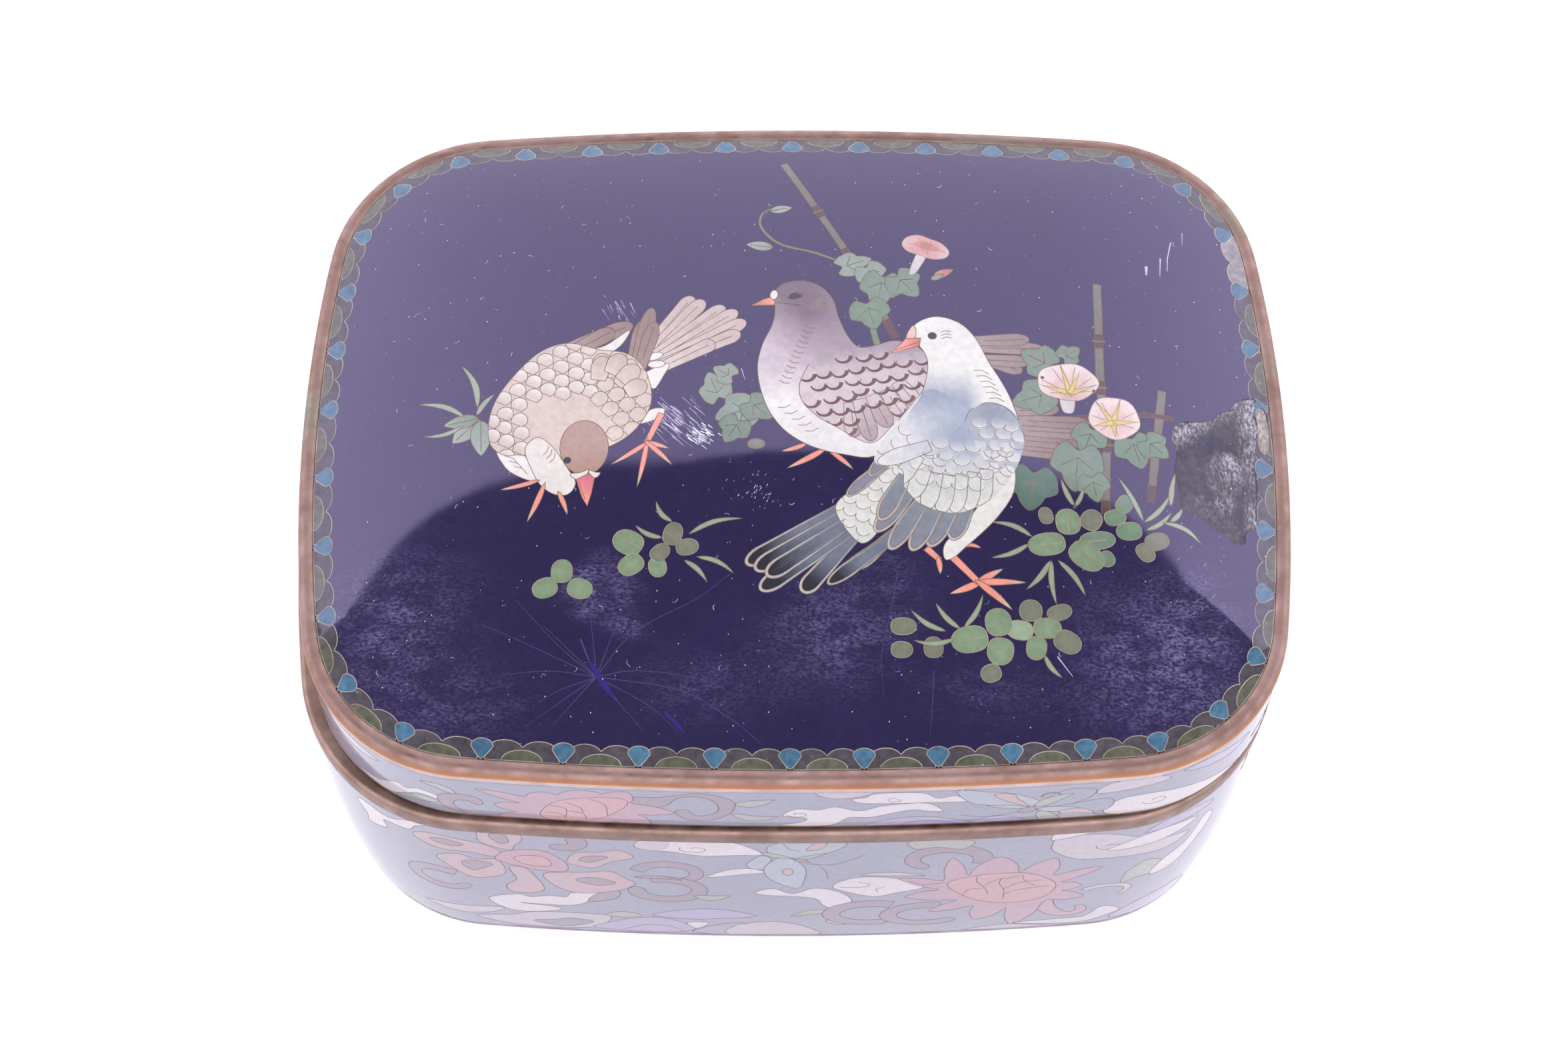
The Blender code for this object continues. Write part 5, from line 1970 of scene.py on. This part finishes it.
def draw_right_corner(band):
    band.shape(((42.7, 43.1), (44, 46.8), (51.7, 46.6), (57, 43.4), (60, 40.4), (66.8, 36.6), (62.7, 34.4),
                (55.2, 36.2), (47.7, 36.8), (43.6, 40.4)), band_blush)
    band.spiral(52.4, 41.4, 1.5, 160)
    band.shapes(
        (band_white, (52, 40), (57, 43.4), (62, 43.8), (68, 40.8), (62.6, 39.4), (55.4, 39.4)),
        (band_lilac, (57.8, 44.6), (62, 47.4), (68.4, 45.4), (71, 42.6), (64, 43.6)),
        (band_white, (42.6, 45.6), (43.4, 48.4), (50, 48.4), (46, 46.6)),
        (band_sage, (56.4, 28.8), (59.3, 31.8), (62.4, 29), (62.3, 24.2), (58.2, 24.8), (55.8, 23.4)),
        (band_white, (60.8, 24.1), (62.6, 29), (67, 32.6), (69.6, 38.9), (72, 36), (68.6, 28.3),
         (64.7, 23.4)),
    )
    band.curl(53.6, 20.2, 3.6, 150, -190, 1.4, 1.2, band_blush, 0.8)
    band.shapes(
        (band_white, (39, 5.4), (47, 6.3), (51.2, 6.8), (53.9, 12.4), (57.6, 8.4), (55.5, 6), (49.7, 2.6)),
        (band_blush, (31.6, 1.6), (34.1, 3.9), (39.3, 4.7), (44.7, 1.6)),
        (band_lilac, (56, 3.6), (61.4, 10.5), (70.6, 8.9), (70.4, 2.2), (63.4, 1.6)),
    )


def draw_cloud(band, x, y, length, height, colour):
    """A drifting cloud with a curled wire, for the sides that the photograph doesn't show."""
    outline = ((-0.5, -0.05), (-0.3, 0.3), (-0.1, 0.2), (0.08, 0.5), (0.3, 0.22), (0.5, -0.1), (0.22, -0.12),
               (0.05, -0.42), (-0.16, -0.2))
    band.shape([(x + length * u, y + height * v) for u, v in outline], colour)
    band.spiral(x - length * 0.14, y, height * 0.17, 170)


def draw_lid_band():
    draw_lid_clouds(lid_band)
    draw_swirl_flower(lid_band)
    draw_butterfly(lid_band)
    for shift, mirrored in (
        (2 * plan.quarter, False), (plan.quarter + 38.0, True), (3 * plan.quarter + 34.0, False),
    ):
        lid_band.shift, lid_band.mirrored = shift, mirrored
        draw_swirl_flower(lid_band)
    for shift in (plan.quarter + 20.0, 2 * plan.quarter + 44.0, 3 * plan.quarter - 16.0):
        lid_band.shift, lid_band.mirrored = shift - butterfly_place[0], False
        draw_butterfly(lid_band)
    lid_band.shift, lid_band.mirrored = 0.0, False
    for number, along in enumerate((84.0, 146.0, 200.0, 256.0, 276.0, 330.0, 392.0, 418.0)):
        draw_cloud(lid_band, along, 4.6 + 3.6 * (number % 2), 15.0, 4.6,
                   band_white if number % 2 else band_blush)


def draw_base_band():
    draw_base_clouds(base_band)
    draw_blossom(base_band)
    draw_blue_butterfly(base_band)
    draw_lotus(base_band)
    draw_right_corner(base_band)
    for shift, mirrored in (
        (2 * plan.quarter, True), (plan.quarter + 40.0, False), (3 * plan.quarter - 36.0, True),
    ):
        base_band.shift, base_band.mirrored = shift, mirrored
        draw_blossom(base_band)
    for shift, mirrored in (
        (2 * plan.quarter, True), (plan.quarter - 8.0, False), (3 * plan.quarter + 8.0, True),
    ):
        base_band.shift, base_band.mirrored = shift, mirrored
        draw_lotus(base_band)
    for shift in (plan.quarter + 2.0, 2 * plan.quarter - 4.0, 3 * plan.quarter - 4.0):
        base_band.shift, base_band.mirrored = shift, False
        draw_blue_butterfly(base_band)
    base_band.shift, base_band.mirrored = 0.0, False
    for number, along in enumerate((
        88.0, 112.0, 138.0, 166.0, 196.0, 226.0, 252.0, 282.0, 312.0, 342.0, 372.0, 402.0,
    )):
        low = (40.0, 12.0, 26.0)[number % 3]
        draw_cloud(base_band, along, low, 17.0, 7.0, (band_white, band_blush, band_lilac)[number % 3])


def lay_band(band, title, place, node):
    points, cells, wires = band.sheet.fire()
    for part in band.parts:
        lay_enamel(band.sheet, points, cells[part], title + "_enamel_" + part, place, side_enamel,
                   node)
        lay_wires(points, wires[part], title + "_wires_" + part, place, side_wire, side_wire_radius)


ground_cell = draw_ground()
draw_crack()
draw_scratches()
draw_border()
draw_left_plants()
draw_plants_behind()
draw_patch()
draw_middle_tail()
draw_right_plants()
draw_side_flower()
draw_clovers()
draw_left_dove()
draw_middle_dove()
draw_front_dove()
add_fine_points()
draw_lid_band()
draw_base_band()
lay_band(lid_band, "lid_side", on_lid_side, "lid_side_enamel")
lay_band(base_band, "base_side", on_base_side, "base_side_enamel")


def in_patch(x, y):
    """The putty lies a little lower than the enamel and is uneven."""
    return on_dome(x, y, 0.05 * math.sin(x * 3.1 + y * 1.3) + 0.04 * math.sin(y * 4.3 - x * 1.7) - 0.14)


def lay_lid():
    points, groups, wires = lid_sheet.fire()
    finishes = {"ground": ground_enamel, "border": border_enamel, "patch": patch_putty}
    for group in sorted(groups):
        place = in_patch if group == "patch" else on_dome
        lay_enamel(lid_sheet, points, groups[group], "lid_" + group, place,
                   finishes.get(group, picture_enamel), "lid_top_enamel")
    metals = {"border": pale_wire, "clover": dim_wire, "flowers": dim_wire, "leaves": brown_wire}
    for group in sorted(wires):
        lay_wires(points, wires[group], "lid_" + group + "_wires", on_dome, metals.get(group, brown_wire))


lay_lid()


# Metalwork


def make_metalwork():
    top = lid_rim_high.z - 0.4
    strip_top = top - 1.8
    bead_top = top + 0.35
    bead_width = rim_width + 0.1
    bead = []
    for step in range(15):
        angle = math.pi * (step / 14 * 1.02 - 0.06)
        across = (1 + math.cos(angle)) / 2
        start = strip_top + 0.7 if across > 0.5 else top - 0.1
        bead.append((-bead_width * (1 - across), start + (bead_top - start) * max(math.sin(angle), -0.3)))
    bead += [(-bead_width, top - 0.9), (-1.4, strip_top + 0.1), (-0.25, strip_top + 0.1)]
    swept_strip("lid_rim_bead", bead, lid_x, bead_copper, "lid_top_rim")
    swept_strip("lid_rim_line", [
        (-0.35, strip_top - 0.1), (0.0, strip_top - 0.02), (0.02, strip_top + 0.4), (-0.1, strip_top + 0.6),
        (-0.6, strip_top + 0.6), (-0.6, strip_top - 0.05),
    ], lid_x, line_copper, "lid_top_rim")
    # A thin copper strip below the bead, coloured pale as a painted highlight line
    swept_strip("lid_rim_highlight_strip", [
        (-0.30, strip_top - strip_height), (-0.22, strip_top - strip_height + 0.1), (-0.22, strip_top - 0.12),
        (-1.2, strip_top), (-1.2, strip_top - strip_height),
    ], lid_x, painted_highlight_copper, "lid_top_rim")
    low = lid_edge_low.z
    edge_top = low + 0.42
    lid_mouth = -2.8
    swept_strip("lid_lower_edge", [
        (lid_mouth, low), (-0.4, low), (-0.2, low + 0.12), (-0.2, low + 0.34), (-0.4, edge_top),
        (lid_mouth, edge_top),
    ], lid_x, edge_copper, "lid_lower_rim")
    high = base_rim_low.z + 4.6
    low = base_band_high + 0.1
    over = base_overhang
    sheet = 1.2
    lid_slide, collar_gap, collar_height = 1.35, 0.3, 4.4
    collar = lid_mouth - lid_slide - collar_gap
    collar_top = high + collar_height
    round_size = 0.9
    turns = [math.radians(a) for a in range(90, -1, -15)]
    round_x, round_z = over - round_size, high - round_size
    rounding = [(round_x + round_size * math.sin(a), round_z + round_size * math.cos(a)) for a in turns]
    swept_strip("base_rim", [
        (over - sheet, low), (over - 0.35, low), (over - 0.1, low + 0.1), (over, low + 0.4), *rounding,
        (collar, high), (collar, collar_top), (collar - sheet, collar_top), (collar - sheet, high - sheet),
        (over - sheet, high - sheet),
    ], base_x, rim_copper, "base_upper_rim")
    # The base rim's lower lip: a thin pale strip as a painted reflection line
    swept_strip("base_rim_reflection_line", [
        (over - sheet, low - 0.2), (over - 0.42, low - 0.2), (over - 0.36, low), (over - sheet, low),
    ], base_x, painted_highlight_copper, "base_upper_rim")
    foot_width, foot_height = 2.2, 1.9
    foot = base_enamel_offset - base_inset - 0.3
    swept_strip("base_foot", [
        (foot - foot_width, 0.0), (foot - 0.2, 0.0), (foot, 0.2), (foot + 0.1, foot_height),
        (foot - foot_width, foot_height),
    ], base_x, foot_copper, "base_foot_rim")


make_metalwork()

for node in ("base_copper_shell", "lid_copper_shell"):
    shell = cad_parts[node]
    shell.data.materials.clear()
    shell.data.materials.append(counter_enamel.material)


# Floor, light and camera


def make_stage():
    floor_mesh = bpy.data.meshes.new("floor")
    shape = bmesh.new()
    bmesh.ops.create_grid(shape, x_segments=1, y_segments=1, size=3.0)
    shape.to_mesh(floor_mesh)
    shape.free()
    floor = bpy.data.objects.new("floor", floor_mesh)
    bpy.context.scene.collection.objects.link(floor)
    finish = Finish("floor_paper", 0.6)
    finish.shader.inputs["Base Color"].default_value = (0.80, 0.79, 0.81, 1.0)
    floor_mesh.materials.append(finish.material)

    world = bpy.data.worlds.new("studio")
    bpy.context.scene.world = world
    world.use_nodes = True
    nodes, links = world.node_tree.nodes, world.node_tree.links
    background = nodes["Background"]
    coords = nodes.new("ShaderNodeTexCoord")
    parts = nodes.new("ShaderNodeSeparateXYZ")
    links.new(coords.outputs["Generated"], parts.inputs["Vector"])

    def math_node(kind, first, second):
        node = nodes.new("ShaderNodeMath")
        node.operation = kind
        for socket, value in zip(node.inputs, (first, second)):
            if isinstance(value, bpy.types.NodeSocket):
                links.new(value, socket)
            else:
                socket.default_value = value
        return node.outputs[0]

    # A dark panel with rounded corners hangs overhead: its middle and its reach, each at height 1
    panel_x, reach_x, reach_y, squareness = -0.05, 0.72, 0.565, 4.0
    height = math_node("MAXIMUM", parts.outputs["Z"], 0.001)
    aside = math_node("DIVIDE", parts.outputs["X"], height)
    across = math_node("DIVIDE", math_node("SUBTRACT", aside, panel_x), reach_x)
    back = math_node("DIVIDE", math_node("DIVIDE", parts.outputs["Y"], height), reach_y)
    far = math_node("ADD", math_node("POWER", math_node("ABSOLUTE", across, 0.0), squareness),
                    math_node("POWER", math_node("ABSOLUTE", back, 0.0), squareness))
    ramp = nodes.new("ShaderNodeValToRGB")
    links.new(math_node("MULTIPLY", far, 0.5), ramp.inputs["Fac"])
    links.new(ramp.outputs["Color"], background.inputs["Color"])
    ramp.color_ramp.elements[0].position = 0.495
    ramp.color_ramp.elements[0].color = (0.09, 0.085, 0.10, 1.0)
    ramp.color_ramp.elements[1].position = 0.515
    ramp.color_ramp.elements[1].color = (1.0, 0.97, 1.0, 1.0)

    # It is a little brighter to both sides of the panel, and even again lower down
    world_strength, least, side_gain, natural_base = 2.84, 0.95, 1.0, 2.718
    squared = math_node("MULTIPLY", aside, aside)
    falloff = math_node("POWER", natural_base,
                        math_node("MULTIPLY", math_node("MULTIPLY", squared, squared), -1.0))
    brighter = math_node("MULTIPLY", math_node("MULTIPLY", squared, falloff), side_gain)
    links.new(math_node("MULTIPLY", math_node("ADD", brighter, least), world_strength),
              background.inputs["Strength"])
    scene = bpy.context.scene
    scene.view_settings.view_transform = "Standard"
    scene.view_settings.look = "None"

    eye = Vector((-0.002717, -0.255515, 0.510210))
    target = Vector((-0.000607, -0.015678, 0.0700))
    roll = math.radians(0.432)
    data = bpy.data.cameras.new("photograph_view")
    data.lens = 71.94
    data.sensor_width = 36.0
    camera = bpy.data.objects.new("photograph_view", data)
    scene.collection.objects.link(camera)
    turn = (target - eye).to_track_quat("-Z", "Y")
    camera.rotation_mode = "QUATERNION"
    camera.rotation_quaternion = turn @ Quaternion((0.0, 0.0, 1.0), roll)
    camera.location = eye
    scene.camera = camera


make_stage()
